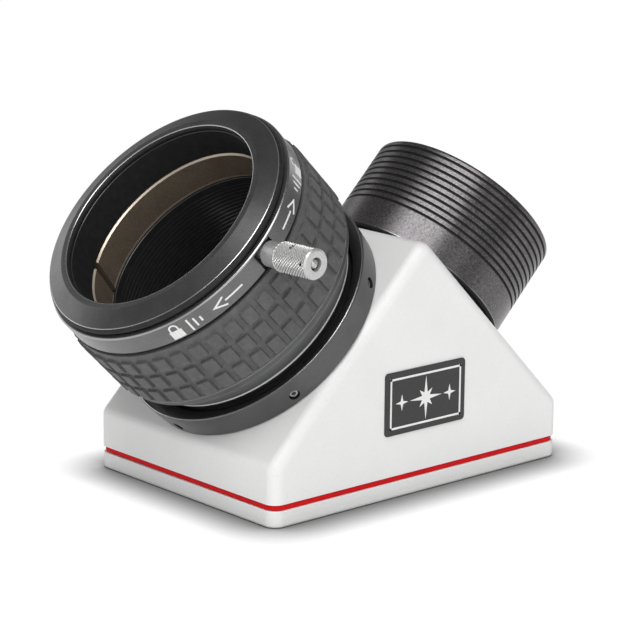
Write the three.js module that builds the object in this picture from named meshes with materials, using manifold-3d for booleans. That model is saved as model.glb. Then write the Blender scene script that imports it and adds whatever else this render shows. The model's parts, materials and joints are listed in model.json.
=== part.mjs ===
// Star diagonal: a right-angle mirror housing with a twist-lock eyepiece clamp and a two-inch nosepiece.
// Millimetres, +Z up. X runs along the base and through both ports, Y across it.
// The origin is the centre of the base plate's underside.
import * as THREE from 'three';
import { mergeVertices } from 'three/addons/utils/BufferGeometryUtils.js';
import Module from 'manifold-3d';

const wasm = await Module();
wasm.setup();

// ---- Driving dimensions ----------------------------------------------------------------------

// The gap between pieces that touch, and how far a cutter reaches past what it cuts
const GAP = 0.3;
const OVERCUT = 1;

// Body
const BODY_LENGTH = 95;
const BODY_WIDTH = 67;
const EDGE_RADIUS = 3.2;
const EDGE_BEVEL = 3;
const BASE_TOP = 4.1;
const BASE_SOFT_EDGE = 0.75;
const SEAL_TOP = 5.625;
const SEAL_INSET = 0.3;
const END_WALL_TOP = 14.84;
const RIDGE_Z = END_WALL_TOP + BODY_LENGTH / 2;
const WALL = 4;
const SLOPE_WALL = 4.5;
const SLOPE_COS = Math.SQRT1_2;

// Ports: each axis stands square on the middle of a 45 degree slope
const PORT_FROM_RIDGE = 33;
const PORT_X = PORT_FROM_RIDGE * SLOPE_COS;
const PORT_Z = RIDGE_Z - PORT_X;
const CLAMP_PORT_HOLE = 26.6;
const NOSE_PORT_HOLE = 25.2;

// Mirror, flat on three pads, with its face where the two port axes cross
const MIRROR_TOP = RIDGE_Z - 2 * PORT_X;
const MIRROR_BOTTOM = 5.875;
const MIRROR_LENGTH = 72;
const MIRROR_WIDTH = 50;
const MIRROR_CORNER = 9;
const PAD_RADIUS = 4;
const PAD_PLACES = [[-22, -13], [-22, 13], [24, 0]];
const SEAL_OPENING = [62, 42];

// Base screws, M3 countersunk, driven up into bosses in the housing's corners
const SCREW_X = 39.2;
const SCREW_Y = 25.2;
const SCREW_RADIUS = 1.25;
const SCREW_HOLE = 1.55;
const SCREW_HEAD_RADIUS = 2.9;
const SCREW_HEAD_BOTTOM = 0.3;
const SCREW_HEAD_RIM = 0.2;
const SCREW_TIP_Z = 11.4;
const COUNTERSINK_RADIUS = 3.6;
const COUNTERSINK_DEPTH = 2.3;
const BOSS_RADIUS = 4.8;
const BOSS_TOP = 14;
const BOSS_HOLE_TOP = 12.2;
const BLANK_BOTTOM = -10;
const HEX_SOCKET = 1.1;
const HEX_DEPTH = 1.1;

// Badge on the side face
const BADGE_WIDTH = 26.4;
const BADGE_HEIGHT = 15.5;
const BADGE_CORNER = 1;
const BADGE_THICKNESS = 0.4;
const BADGE_Z = 23.6;

// Two-inch nosepiece; heights here and below run up the port's axis from the slope
const BARREL_RADIUS = 25.4;
const BARREL_TOP = 30.7;
const BARREL_BOTTOM = 4.4;
const BARREL_NECK = 24.1;
const BARREL_BORE = 22.6;
const FILTER_THREAD = 23.9;
const FILTER_THREAD_DEPTH = 6.2;
const BARREL_RIM = 0.5;
const ADAPTER_RADIUS = NOSE_PORT_HOLE - GAP;
const ADAPTER_BORE = 23.7;
const ADAPTER_TOP = 1;
const SPIGOT_BOTTOM = -4.2;

// Clamp flange: a cup on the slope that takes the clamp's dovetail foot
const FLANGE_BASE_RADIUS = 32.7;
const FLANGE_TOP_RADIUS = 33.35;
const FLANGE_TOP = 7.45;
const FLANGE_LIP = 0.3;
const FLANGE_FLOOR = 1.3;
const FLANGE_BORE = 24.2;
const FLANGE_CUP = 29.3;
const FUNNEL_BOTTOM = 5.4;
const GRUB_COUNT = 6;
const GRUB_FIRST_ANGLE = 30;
const GRUB_Z = 2.85;
const GRUB_RADIUS = 1.05;
const GRUB_HOLE = 1.35;
const GRUB_IN = 29.15;
const GRUB_OUT = 32.3;

// Clamp body: dovetail foot, cone, and the sleeve that the eyepiece barrel slides into
const FOOT_RADIUS = 28.9;
const FOOT_WAIST = 28.2;
const FOOT_BEVEL = 1;
const FOOT_BOTTOM = FLANGE_FLOOR + GAP;
const CONE_BOTTOM = 8.1;
const CONE_BOTTOM_RADIUS = 29.35;
const CONE_TOP = 14;
const CONE_TOP_RADIUS = 33.4;
const CONE_SHOULDER = 15.4;
const SLEEVE_BORE = 25.6;
const SLEEVE_RADIUS = 29.3;
const SLEEVE_STOP = 24;
const SLEEVE_STOP_TOP = 3.4;
const SLEEVE_THREAD_BOTTOM = 38.4;
const SLEEVE_THREAD_RADIUS = 27.6;
const SLEEVE_TOP = 42.2;

// Brass clamping ring in its groove, split by one slanted slot
const BRASS_BOTTOM = 25;
const BRASS_TOP = 33.6;
const BRASS_IN = 25.5;
const BRASS_OUT = 27;
const BRASS_CHAMFER = 0.4;
const BRASS_GROOVE = 27.6;
const SLOT_ANGLE = -149.3;
const SLOT_WIDTH = 1.9;
const SLOT_LEAN = 13;

// Rollers: the cam pockets in the grip ring push them in through windows in the sleeve
const ROLLER_COUNT = 3;
const ROLLER_FIRST_ANGLE = 60;
const ROLLER_RADIUS = 1.6;
const ROLLER_ORBIT = 29.35;
const ROLLER_BOTTOM = 25.8;
const ROLLER_TOP = 32.8;
const ROLLER_TRAVEL = 0.6;
const WINDOW_BOTTOM = 25.4;
const WINDOW_TOP = 33.2;
const LOCK_ANGLE = 35;
const POCKET_MARGIN = 5.5;
const POCKET_CLEARANCE = 0.2;
const POCKET_STEPS = 8;

// Grip ring with its marking band, rubber sleeve, lever and glide rings
const GRIP_BORE = 29.7;
const GRIP_SEAT = 32.1;
const GRIP_BOTTOM = 16.4;
const BAND_RADIUS = 33.3;
const BAND_BOTTOM = 34.65;
const BAND_TOP = 40.15;
const BAND_CHAMFER = 0.3;
const GRIP_RECESS_RADIUS = 32;
const GRIP_RECESS_Z = 39.6;
const RUBBER_RADIUS = 34.2;
const RUBBER_BOTTOM = 15.75;
const RUBBER_TOP = 33.65;
const RUBBER_EDGE = 0.6;
const LEVER_Z = 37.3;
const LEVER_END = 50;
const LEVER_RADIUS = 3.5;
const LEVER_NECK = 3;
const LEVER_NECK_START = 34.4;
const LEVER_NECK_END = 38.7;
const LEVER_STUD = 1.8;
const LEVER_STUD_START = 30.2;
const LEVER_HOLE = 2.1;
const LEVER_CENTRE_HOLE = 1.2;
const LEVER_CENTRE_DEPTH = 1.5;
const LEVER_CHAMFER = 0.7;
const NOTCH_HALF_WIDTH = 3;
const NOTCH_FLOOR = 31.8;
const NOTCH_TOP = 39.4;

// Front ring, screwed onto the sleeve's end
const FRONT_RADIUS = 32.5;
const FRONT_BOTTOM = 40.9;
const FRONT_EDGE = 41.5;
const FRONT_BEVEL_TOP = 42.25;
const FRONT_BEVEL_RADIUS = 32;
const FRONT_FACE = 43.9;
const FRONT_LAND = 27.5;
const FRONT_MOUTH = 26;
const FRONT_WEB = 42.5;
const FRONT_THROAT = 43.1;

const RING_SEGMENTS = 48;
const SMALL_SEGMENTS = 12;
const ARC_STEPS = 3;

// ---- Materials ---------------------------------------------------------------------------------

function paint(color, roughness, metalness) {
  return new THREE.MeshStandardMaterial({ color, roughness, metalness });
}

const WHITE_COAT = () => paint(0xe4e4e4, 0.55, 0);
const RED_SEAL = () => paint(0xd01418, 0.5, 0);
const BLACK_ANODISED = () => paint(0x3a3a3a, 0.4, 0.6);
const RUBBER = () => paint(0x4e4e4e, 0.8, 0);
const BRASS = () => paint(0x7a6650, 0.35, 1);
const BRIGHT_ALUMINIUM = () => paint(0xc8c8c8, 0.3, 1);
const STEEL = () => paint(0x8a8a8a, 0.35, 1);
const MIRROR_GLASS = () => paint(0xe8ecee, 0.03, 1);
const PLASTIC = () => paint(0x2a2a2a, 0.5, 0);
const BADGE = () => paint(0x3c3c3c, 0.35, 0.2);

// ---- Geometry helpers --------------------------------------------------------------------------

// A closed geometry as a solid that can be joined and cut
function solid(geometry) {
  const bare = geometry.index ? geometry.clone() : geometry;
  bare.deleteAttribute('normal');
  bare.deleteAttribute('uv');
  const merged = mergeVertices(bare);
  const corners = merged.index.array;
  const kept = [];
  for (let i = 0; i < corners.length; i += 3) {
    const [a, b, c] = [corners[i], corners[i + 1], corners[i + 2]];
    if (a !== b && b !== c && c !== a) kept.push(a, b, c);
  }
  const vertProperties = new Float32Array(merged.attributes.position.array);
  const triVerts = new Uint32Array(kept);
  return new wasm.Manifold(new wasm.Mesh({ numProp: 3, vertProperties, triVerts }));
}

// A solid back as a geometry
function toGeometry(body) {
  const mesh = body.getMesh();
  const geometry = new THREE.BufferGeometry();
  geometry.setAttribute('position', new THREE.BufferAttribute(mesh.vertProperties, 3));
  geometry.setIndex(new THREE.BufferAttribute(mesh.triVerts, 1));
  return geometry;
}

// base with every cutter taken away
const cut = (base, cutters) => cutters.reduce((left, cutter) => left.subtract(cutter), base);

// A profile of [radius, height] points turned about Z: it runs anticlockwise, and closes or meets the axis
function turned(profile, segments = RING_SEGMENTS) {
  const points = profile.map(([radius, height]) => new THREE.Vector2(radius, height));
  if (profile[0][0] > 0) points.push(points[0].clone());
  return new THREE.LatheGeometry(points, segments).rotateX(Math.PI / 2);
}

// A plain washer
function washer(inner, outer, bottom, top) {
  return turned([[inner, bottom], [outer, bottom], [outer, top], [inner, top]]);
}

// A convex outline, anticlockwise, with every corner rounded to one radius
function roundedOutline(corners, radius) {
  const shape = new THREE.Shape();
  corners.forEach(([x, y], i) => {
    const corner = new THREE.Vector2(x, y);
    const before = new THREE.Vector2(...corners.at(i - 1)).sub(corner).normalize();
    const after = new THREE.Vector2(...corners[(i + 1) % corners.length]).sub(corner).normalize();
    const half = Math.acos(before.dot(after)) / 2;
    const centre = before.clone().add(after).normalize().multiplyScalar(radius / Math.sin(half)).add(corner);
    const reach = radius / Math.tan(half);
    const start = before.multiplyScalar(reach).add(corner).sub(centre).angle();
    const end = after.multiplyScalar(reach).add(corner).sub(centre).angle();
    shape.absarc(centre.x, centre.y, radius, start, end, false);
  });
  return shape;
}

const rectangle = (length, width) => [
  [-length / 2, -width / 2],
  [length / 2, -width / 2],
  [length / 2, width / 2],
  [-length / 2, width / 2],
];

// An outline in the XY plane raised from bottom to top
function raised(shape, bottom, top) {
  const options = { depth: top - bottom, bevelEnabled: false, curveSegments: ARC_STEPS };
  return new THREE.ExtrudeGeometry(shape, options).translate(0, 0, bottom);
}

function slab(length, width, bottom, top, radius) {
  return raised(roundedOutline(rectangle(length, width), radius), bottom, top);
}

// A block from its lowest to its highest corner
function block([x0, y0, z0], [x1, y1, z1]) {
  const box = new THREE.BoxGeometry(x1 - x0, y1 - y0, z1 - z0);
  return box.translate((x0 + x1) / 2, (y0 + y1) / 2, (z0 + z1) / 2);
}

// An upright rod on (x, y), with its radius at the bottom and at the top
function rod(x, y, bottom, top, bottomRadius, topRadius = bottomRadius, segments = SMALL_SEGMENTS) {
  const cylinder = new THREE.CylinderGeometry(topRadius, bottomRadius, top - bottom, segments);
  return cylinder.rotateX(Math.PI / 2).translate(x, y, (bottom + top) / 2);
}

const radians = THREE.MathUtils.degToRad;

// Angles in degrees, count of them spread evenly round a circle
const evenAngles = (count, first) => Array.from({ length: count }, (_, i) => first + (i * 360) / count);

// A geometry built upright, laid along the port's radius at an angle and a height: its Z becomes the radius
function radial(geometry, degrees, height) {
  return geometry.rotateY(Math.PI / 2).rotateZ(radians(degrees)).translate(0, 0, height);
}

// ---- Placing -----------------------------------------------------------------------------------

// A port's frame: X is its radius towards the viewer's side (-Y), Z its axis out of the slope
function portFrame(side) {
  const axis = new THREE.Vector3(side, 0, 1).normalize();
  const across = new THREE.Vector3(0, -1, 0);
  const frame = new THREE.Matrix4().makeBasis(across, new THREE.Vector3().crossVectors(axis, across), axis);
  return frame.setPosition(side * PORT_X, 0, PORT_Z);
}

function portGroup(side) {
  const group = new THREE.Group();
  group.applyMatrix4(portFrame(side));
  return group;
}

const CLAMP_SIDE = -1;
const NOSE_SIDE = 1;
const diagonal = new THREE.Group();
const clampPort = portGroup(CLAMP_SIDE);
const nosePort = portGroup(NOSE_SIDE);
diagonal.add(clampPort, nosePort);

function part(name, shape, material, parent = diagonal) {
  const mesh = new THREE.Mesh(shape.isBufferGeometry ? shape : toGeometry(shape), material);
  mesh.name = name;
  parent.add(mesh);
}

const screwPlaces = [[-1, -1], [1, -1], [1, 1], [-1, 1]].map(([x, y]) => [x * SCREW_X, y * SCREW_Y]);

// ---- Body --------------------------------------------------------------------------------------

// An outline in the XZ plane swept across the width, centred on Y, its ends rounded by bevel
function gable(outline, width, bevel) {
  const options = {
    depth: width - 2 * bevel,
    bevelEnabled: bevel > 0,
    bevelThickness: bevel,
    bevelSize: bevel,
    bevelOffset: -bevel,
    bevelSegments: ARC_STEPS,
    curveSegments: ARC_STEPS,
  };
  return new THREE.ExtrudeGeometry(outline, options).rotateX(Math.PI / 2).translate(0, width / 2 - bevel, 0);
}

// The five-sided side view, its slopes at 45 degrees below a ridge, standing on floor
const gableCorners = (halfLength, ridge, floor) => [
  [-halfLength, floor],
  [halfLength, floor],
  [halfLength, ridge - halfLength],
  [0, ridge],
  [-halfLength, ridge - halfLength],
];

// A blank that reaches below the base, hollowed, then cut off level with the seal's top
function housing() {
  const outerOutline = roundedOutline(gableCorners(BODY_LENGTH / 2, RIDGE_Z, BLANK_BOTTOM), EDGE_RADIUS);
  const outer = solid(gable(outerOutline, BODY_WIDTH, EDGE_BEVEL));
  const innerRidge = RIDGE_Z - SLOPE_WALL / SLOPE_COS;
  const innerCorners = gableCorners(BODY_LENGTH / 2 - WALL, innerRidge, BLANK_BOTTOM);
  const innerOutline = new THREE.Shape(innerCorners.map(([x, z]) => new THREE.Vector2(x, z)));
  const bosses = screwPlaces.map(([x, y]) => solid(rod(x, y, SEAL_TOP, BOSS_TOP, BOSS_RADIUS)));
  const cavity = cut(solid(gable(innerOutline, BODY_WIDTH - 2 * WALL, 0)), bosses);
  const [length, width] = [BODY_LENGTH, BODY_WIDTH];
  const underside = solid(block([-length, -width, 2 * BLANK_BOTTOM], [length, width, SEAL_TOP]));
  const screwHoles = screwPlaces.map(([x, y]) => solid(rod(x, y, 0, BOSS_HOLE_TOP, SCREW_HOLE)));
  const portHoles = [[CLAMP_SIDE, CLAMP_PORT_HOLE], [NOSE_SIDE, NOSE_PORT_HOLE]].map(([side, radius]) => {
    const hole = rod(0, 0, -2 * SLOPE_WALL, SLOPE_WALL, radius, radius, RING_SEGMENTS);
    return solid(hole.applyMatrix4(portFrame(side)));
  });
  return cut(outer, [cavity, underside, ...screwHoles, ...portHoles]);
}

// The cutter for a countersunk hole in the underside, reaching up to top
function countersunkHole(top) {
  const flare = (COUNTERSINK_RADIUS - SCREW_HOLE) / COUNTERSINK_DEPTH;
  const profile = [
    [0, -OVERCUT],
    [COUNTERSINK_RADIUS + OVERCUT * flare, -OVERCUT],
    [SCREW_HOLE, COUNTERSINK_DEPTH],
    [SCREW_HOLE, top],
    [0, top],
  ];
  return turned(profile, SMALL_SEGMENTS);
}

function basePlate() {
  const blankTop = 2 * BASE_TOP;
  const outline = roundedOutline(rectangle(BODY_LENGTH, BODY_WIDTH), EDGE_RADIUS);
  const blank = new THREE.ExtrudeGeometry(outline, {
    depth: blankTop - 2 * BASE_SOFT_EDGE,
    bevelThickness: BASE_SOFT_EDGE,
    bevelSize: BASE_SOFT_EDGE,
    bevelOffset: -BASE_SOFT_EDGE,
    bevelSegments: 2,
    curveSegments: ARC_STEPS,
  }).translate(0, 0, BASE_SOFT_EDGE);
  const above = solid(block([-BODY_LENGTH, -BODY_WIDTH, BASE_TOP], [BODY_LENGTH, BODY_WIDTH, 2 * blankTop]));
  const holes = screwPlaces.map(([x, y]) => solid(countersunkHole(blankTop).translate(x, y, 0)));
  return cut(solid(blank), [above, ...holes]);
}

function seal() {
  const [length, width] = [BODY_LENGTH - 2 * SEAL_INSET, BODY_WIDTH - 2 * SEAL_INSET];
  const gasket = slab(length, width, BASE_TOP, SEAL_TOP, EDGE_RADIUS);
  const opening = slab(...SEAL_OPENING, 0, 2 * SEAL_TOP, EDGE_RADIUS);
  const holes = screwPlaces.map(([x, y]) => solid(rod(x, y, 0, 2 * SEAL_TOP, SCREW_HOLE)));
  return cut(solid(gasket), [solid(opening), ...holes]);
}

// A countersunk screw, head down, with a hexagon socket
function baseScrew([x, y]) {
  const headRim = SCREW_HEAD_BOTTOM + SCREW_HEAD_RIM;
  const neck = headRim + SCREW_HEAD_RADIUS - SCREW_RADIUS;
  const profile = [
    [0, SCREW_HEAD_BOTTOM],
    [SCREW_HEAD_RADIUS, SCREW_HEAD_BOTTOM],
    [SCREW_HEAD_RADIUS, headRim],
    [SCREW_RADIUS, neck],
    [SCREW_RADIUS, SCREW_TIP_Z],
    [0, SCREW_TIP_Z],
  ];
  const socket = rod(0, 0, 0, SCREW_HEAD_BOTTOM + HEX_DEPTH, HEX_SOCKET, HEX_SOCKET, 6);
  return toGeometry(solid(turned(profile, SMALL_SEGMENTS)).subtract(solid(socket))).translate(x, y, 0);
}

function mirror() {
  const [l, w, c] = [MIRROR_LENGTH / 2, MIRROR_WIDTH / 2, MIRROR_CORNER];
  const half = [[l - c, -w], [l, -w + c], [l, w - c], [l - c, w]];
  const outline = [...half, ...half.map(([x, y]) => [-x, -y])];
  return raised(new THREE.Shape(outline.map(([x, y]) => new THREE.Vector2(x, y))), MIRROR_BOTTOM, MIRROR_TOP);
}

function badge() {
  const plate = slab(BADGE_WIDTH, BADGE_HEIGHT, 0, BADGE_THICKNESS, BADGE_CORNER);
  return plate.rotateX(Math.PI / 2).translate(0, -BODY_WIDTH / 2, BADGE_Z);
}

part('housing', housing(), WHITE_COAT());
part('base_plate', basePlate(), WHITE_COAT());
part('red_seal', seal(), RED_SEAL());
part('mirror', mirror(), MIRROR_GLASS());
const mirrorPad = ([x, y]) => rod(x, y, BASE_TOP, MIRROR_BOTTOM, PAD_RADIUS);
PAD_PLACES.forEach((place, i) => part(`mirror_pad_${i + 1}`, mirrorPad(place), RUBBER()));
screwPlaces.forEach((place, i) => part(`base_screw_${i + 1}`, baseScrew(place), STEEL()));
part('badge_plate', badge(), BADGE());

// ---- Nosepiece ---------------------------------------------------------------------------------

const adapterRing = () => washer(ADAPTER_BORE, ADAPTER_RADIUS, SPIGOT_BOTTOM, ADAPTER_TOP);

function nosepiece() {
  const spigot = ADAPTER_BORE - GAP;
  const shoulder = ADAPTER_TOP + GAP;
  return turned([
    [BARREL_BORE, SPIGOT_BOTTOM],
    [spigot, SPIGOT_BOTTOM],
    [spigot, shoulder],
    [BARREL_NECK, shoulder],
    [BARREL_NECK, BARREL_BOTTOM - BARREL_RIM],
    [BARREL_RADIUS - BARREL_RIM, BARREL_BOTTOM - BARREL_RIM],
    [BARREL_RADIUS, BARREL_BOTTOM],
    [BARREL_RADIUS, BARREL_TOP - BARREL_RIM],
    [BARREL_RADIUS - BARREL_RIM, BARREL_TOP],
    [FILTER_THREAD, BARREL_TOP],
    [FILTER_THREAD, BARREL_TOP - FILTER_THREAD_DEPTH],
    [BARREL_BORE, BARREL_TOP - FILTER_THREAD_DEPTH],
  ]);
}

part('nosepiece_adapter', adapterRing(), BLACK_ANODISED(), nosePort);
part('nosepiece', nosepiece(), BLACK_ANODISED(), nosePort);

// ---- Clamp flange ------------------------------------------------------------------------------

const grubAngles = evenAngles(GRUB_COUNT, GRUB_FIRST_ANGLE);

function clampFlange() {
  const spigot = CLAMP_PORT_HOLE - GAP;
  const ring = turned([
    [FLANGE_BORE, SPIGOT_BOTTOM],
    [spigot, SPIGOT_BOTTOM],
    [spigot, GAP],
    [FLANGE_BASE_RADIUS, GAP],
    [FLANGE_TOP_RADIUS, FLANGE_TOP - FLANGE_LIP],
    [FLANGE_TOP_RADIUS - FLANGE_LIP, FLANGE_TOP],
    [FLANGE_CUP, FUNNEL_BOTTOM],
    [FLANGE_CUP, FLANGE_FLOOR],
    [FLANGE_BORE, FLANGE_FLOOR],
  ]);
  const hole = () => rod(0, 0, FLANGE_BORE + OVERCUT, FLANGE_TOP_RADIUS + OVERCUT, GRUB_HOLE);
  return cut(solid(ring), grubAngles.map((angle) => solid(radial(hole(), angle, GRUB_Z))));
}

// A grub screw with a hexagon socket in its outer end
function grubScrew(angle) {
  const body = solid(rod(0, 0, GRUB_IN, GRUB_OUT, GRUB_RADIUS));
  const across = GRUB_RADIUS / 2;
  const socket = solid(rod(0, 0, GRUB_OUT - HEX_DEPTH, GRUB_OUT + OVERCUT, across, across, 6));
  return radial(toGeometry(body.subtract(socket)), angle, GRUB_Z);
}

part('clamp_flange', clampFlange(), BLACK_ANODISED(), clampPort);
grubAngles.forEach((angle, i) => part(`flange_grub_screw_${i + 1}`, grubScrew(angle), STEEL(), clampPort));

// ---- Clamp body and brass ring -----------------------------------------------------------------

const rollerAngles = evenAngles(ROLLER_COUNT, ROLLER_FIRST_ANGLE);

function clampBody() {
  const sleeve = turned([
    [SLEEVE_STOP, FOOT_BOTTOM],
    [FOOT_RADIUS, FOOT_BOTTOM],
    [FOOT_WAIST, FOOT_BOTTOM + FOOT_BEVEL],
    [FOOT_WAIST, FUNNEL_BOTTOM],
    [CONE_BOTTOM_RADIUS, CONE_BOTTOM],
    [CONE_TOP_RADIUS, CONE_TOP],
    [CONE_TOP_RADIUS, CONE_SHOULDER],
    [SLEEVE_RADIUS, CONE_SHOULDER],
    [SLEEVE_RADIUS, SLEEVE_THREAD_BOTTOM],
    [SLEEVE_THREAD_RADIUS, SLEEVE_THREAD_BOTTOM],
    [SLEEVE_THREAD_RADIUS, SLEEVE_TOP],
    [SLEEVE_BORE, SLEEVE_TOP],
    [SLEEVE_BORE, BRASS_TOP + GAP],
    [BRASS_GROOVE, BRASS_TOP + GAP],
    [BRASS_GROOVE, BRASS_BOTTOM - GAP],
    [SLEEVE_BORE, BRASS_BOTTOM - GAP],
    [SLEEVE_BORE, SLEEVE_STOP_TOP],
    [SLEEVE_STOP, SLEEVE_STOP_TOP],
  ]);
  const half = ROLLER_RADIUS + GAP;
  const window = () => block([BRASS_OUT, -half, WINDOW_BOTTOM], [SLEEVE_RADIUS + OVERCUT, half, WINDOW_TOP]);
  return cut(solid(sleeve), rollerAngles.map((angle) => solid(window().rotateZ(radians(angle)))));
}

function brassRing() {
  const ring = turned([
    [BRASS_IN + BRASS_CHAMFER, BRASS_BOTTOM],
    [BRASS_OUT, BRASS_BOTTOM],
    [BRASS_OUT, BRASS_TOP],
    [BRASS_IN + BRASS_CHAMFER, BRASS_TOP],
    [BRASS_IN, BRASS_TOP - BRASS_CHAMFER],
    [BRASS_IN, BRASS_BOTTOM + BRASS_CHAMFER],
  ]);
  const height = BRASS_TOP - BRASS_BOTTOM;
  const half = SLOT_WIDTH / 2;
  const slot = block([BRASS_IN - OVERCUT, -half, -height], [BRASS_OUT + OVERCUT, half, height]);
  slot.rotateX(radians(SLOT_LEAN)).rotateZ(radians(SLOT_ANGLE)).translate(0, 0, BRASS_BOTTOM + height / 2);
  return solid(ring).subtract(solid(slot));
}

function roller(angle) {
  return rod(ROLLER_ORBIT, 0, ROLLER_BOTTOM, ROLLER_TOP, ROLLER_RADIUS).rotateZ(radians(angle));
}

part('clamp_body', clampBody(), BLACK_ANODISED(), clampPort);
part('brass_clamp_ring', brassRing(), BRASS(), clampPort);
rollerAngles.forEach((angle, i) => part(`clamp_roller_${i + 1}`, roller(angle), STEEL(), clampPort));

// ---- Grip ring, rubber and lever ---------------------------------------------------------------

// A cam pocket: its outer wall spirals in by the rollers' travel as the ring turns to lock
function camPocket(angle) {
  const restWall = ROLLER_ORBIT + ROLLER_RADIUS + POCKET_CLEARANCE;
  const from = -POCKET_MARGIN;
  const to = LOCK_ANGLE + POCKET_MARGIN;
  const floorRadius = GRIP_BORE - OVERCUT;
  const at = (radius, degrees) => {
    const turn = radians(angle + degrees);
    return new THREE.Vector2(radius * Math.cos(turn), radius * Math.sin(turn));
  };
  const floor = [];
  const wall = [];
  for (let i = 0; i <= POCKET_STEPS; i += 1) {
    const degrees = from + ((to - from) * i) / POCKET_STEPS;
    const share = THREE.MathUtils.clamp(degrees / LOCK_ANGLE, 0, 1);
    floor.push(at(floorRadius, degrees));
    wall.push(at(restWall - share * ROLLER_TRAVEL, degrees));
  }
  return raised(new THREE.Shape([...wall, ...floor.reverse()]), WINDOW_BOTTOM, WINDOW_TOP);
}

function gripRing() {
  const ring = turned([
    [GRIP_BORE, GRIP_BOTTOM],
    [GRIP_SEAT, GRIP_BOTTOM],
    [GRIP_SEAT, BAND_BOTTOM],
    [BAND_RADIUS, BAND_BOTTOM],
    [BAND_RADIUS, BAND_TOP - BAND_CHAMFER],
    [BAND_RADIUS - BAND_CHAMFER, BAND_TOP],
    [GRIP_RECESS_RADIUS, BAND_TOP],
    [GRIP_RECESS_RADIUS, GRIP_RECESS_Z],
    [GRIP_BORE, GRIP_RECESS_Z],
  ]);
  const pockets = rollerAngles.map((angle) => solid(camPocket(angle)));
  const notchLow = [NOTCH_FLOOR, -NOTCH_HALF_WIDTH, BAND_BOTTOM - OVERCUT];
  const notch = solid(block(notchLow, [BAND_RADIUS + OVERCUT, NOTCH_HALF_WIDTH, NOTCH_TOP]));
  const hole = solid(radial(rod(0, 0, GRIP_BORE - OVERCUT, BAND_RADIUS, LEVER_HOLE), 0, LEVER_Z));
  return cut(solid(ring), [...pockets, notch, hole]);
}

function rubberGrip() {
  const inner = GRIP_SEAT + GAP;
  return turned([
    [inner, RUBBER_BOTTOM],
    [RUBBER_RADIUS - RUBBER_EDGE, RUBBER_BOTTOM],
    [RUBBER_RADIUS, RUBBER_BOTTOM + RUBBER_EDGE],
    [RUBBER_RADIUS, RUBBER_TOP - RUBBER_EDGE],
    [RUBBER_RADIUS - RUBBER_EDGE, RUBBER_TOP],
    [inner, RUBBER_TOP],
  ]);
}

// The lever stands out along the radius; its profile's heights are radii from the port's axis
function lever() {
  const full = LEVER_NECK_END + LEVER_RADIUS - LEVER_NECK;
  const profile = [
    [0, LEVER_STUD_START],
    [LEVER_STUD, LEVER_STUD_START],
    [LEVER_STUD, LEVER_NECK_START],
    [LEVER_NECK, LEVER_NECK_START],
    [LEVER_NECK, LEVER_NECK_END],
    [LEVER_RADIUS, full],
    [LEVER_RADIUS, LEVER_END - LEVER_CHAMFER],
    [LEVER_RADIUS - LEVER_CHAMFER, LEVER_END],
    [LEVER_CENTRE_HOLE, LEVER_END],
    [LEVER_CENTRE_HOLE, LEVER_END - LEVER_CENTRE_HOLE],
    [0, LEVER_END - LEVER_CENTRE_DEPTH],
  ];
  return radial(turned(profile, SMALL_SEGMENTS), 0, LEVER_Z);
}

part('grip_ring', gripRing(), BLACK_ANODISED(), clampPort);
part('rubber_grip', rubberGrip(), RUBBER(), clampPort);
part('lever_pin', lever(), BRIGHT_ALUMINIUM(), clampPort);
const glideRear = washer(SLEEVE_RADIUS + GAP, GRIP_SEAT, CONE_SHOULDER + GAP, GRIP_BOTTOM - GAP);
part('glide_ring_rear', glideRear, PLASTIC(), clampPort);
const glideFront = washer(GRIP_BORE, GRIP_RECESS_RADIUS - GAP, GRIP_RECESS_Z + GAP, FRONT_BOTTOM - GAP);
part('glide_ring_front', glideFront, PLASTIC(), clampPort);

// ---- Front ring --------------------------------------------------------------------------------

function frontRing() {
  const thread = SLEEVE_THREAD_RADIUS + GAP;
  return turned([
    [SLEEVE_BORE, FRONT_WEB],
    [thread, FRONT_WEB],
    [thread, FRONT_BOTTOM],
    [FRONT_RADIUS, FRONT_BOTTOM],
    [FRONT_RADIUS, FRONT_EDGE],
    [FRONT_BEVEL_RADIUS, FRONT_BEVEL_TOP],
    [FRONT_LAND, FRONT_FACE],
    [FRONT_MOUTH, FRONT_FACE],
    [SLEEVE_BORE, FRONT_THROAT],
  ]);
}

part('front_ring', frontRing(), BLACK_ANODISED(), clampPort);

export default diagonal;
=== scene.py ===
"""The looks of the star diagonal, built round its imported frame.

A turned piece is modelled in millimetres about its own axis, and its spot, a matrix, takes it to the
frame in metres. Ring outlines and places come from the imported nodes, so a piece lies where its node does.
"""
import json
from contextlib import contextmanager
from math import atan2, cos, hypot, pi, radians, sin, tan

import bmesh
import bpy
from mathutils import Matrix, Vector


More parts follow.
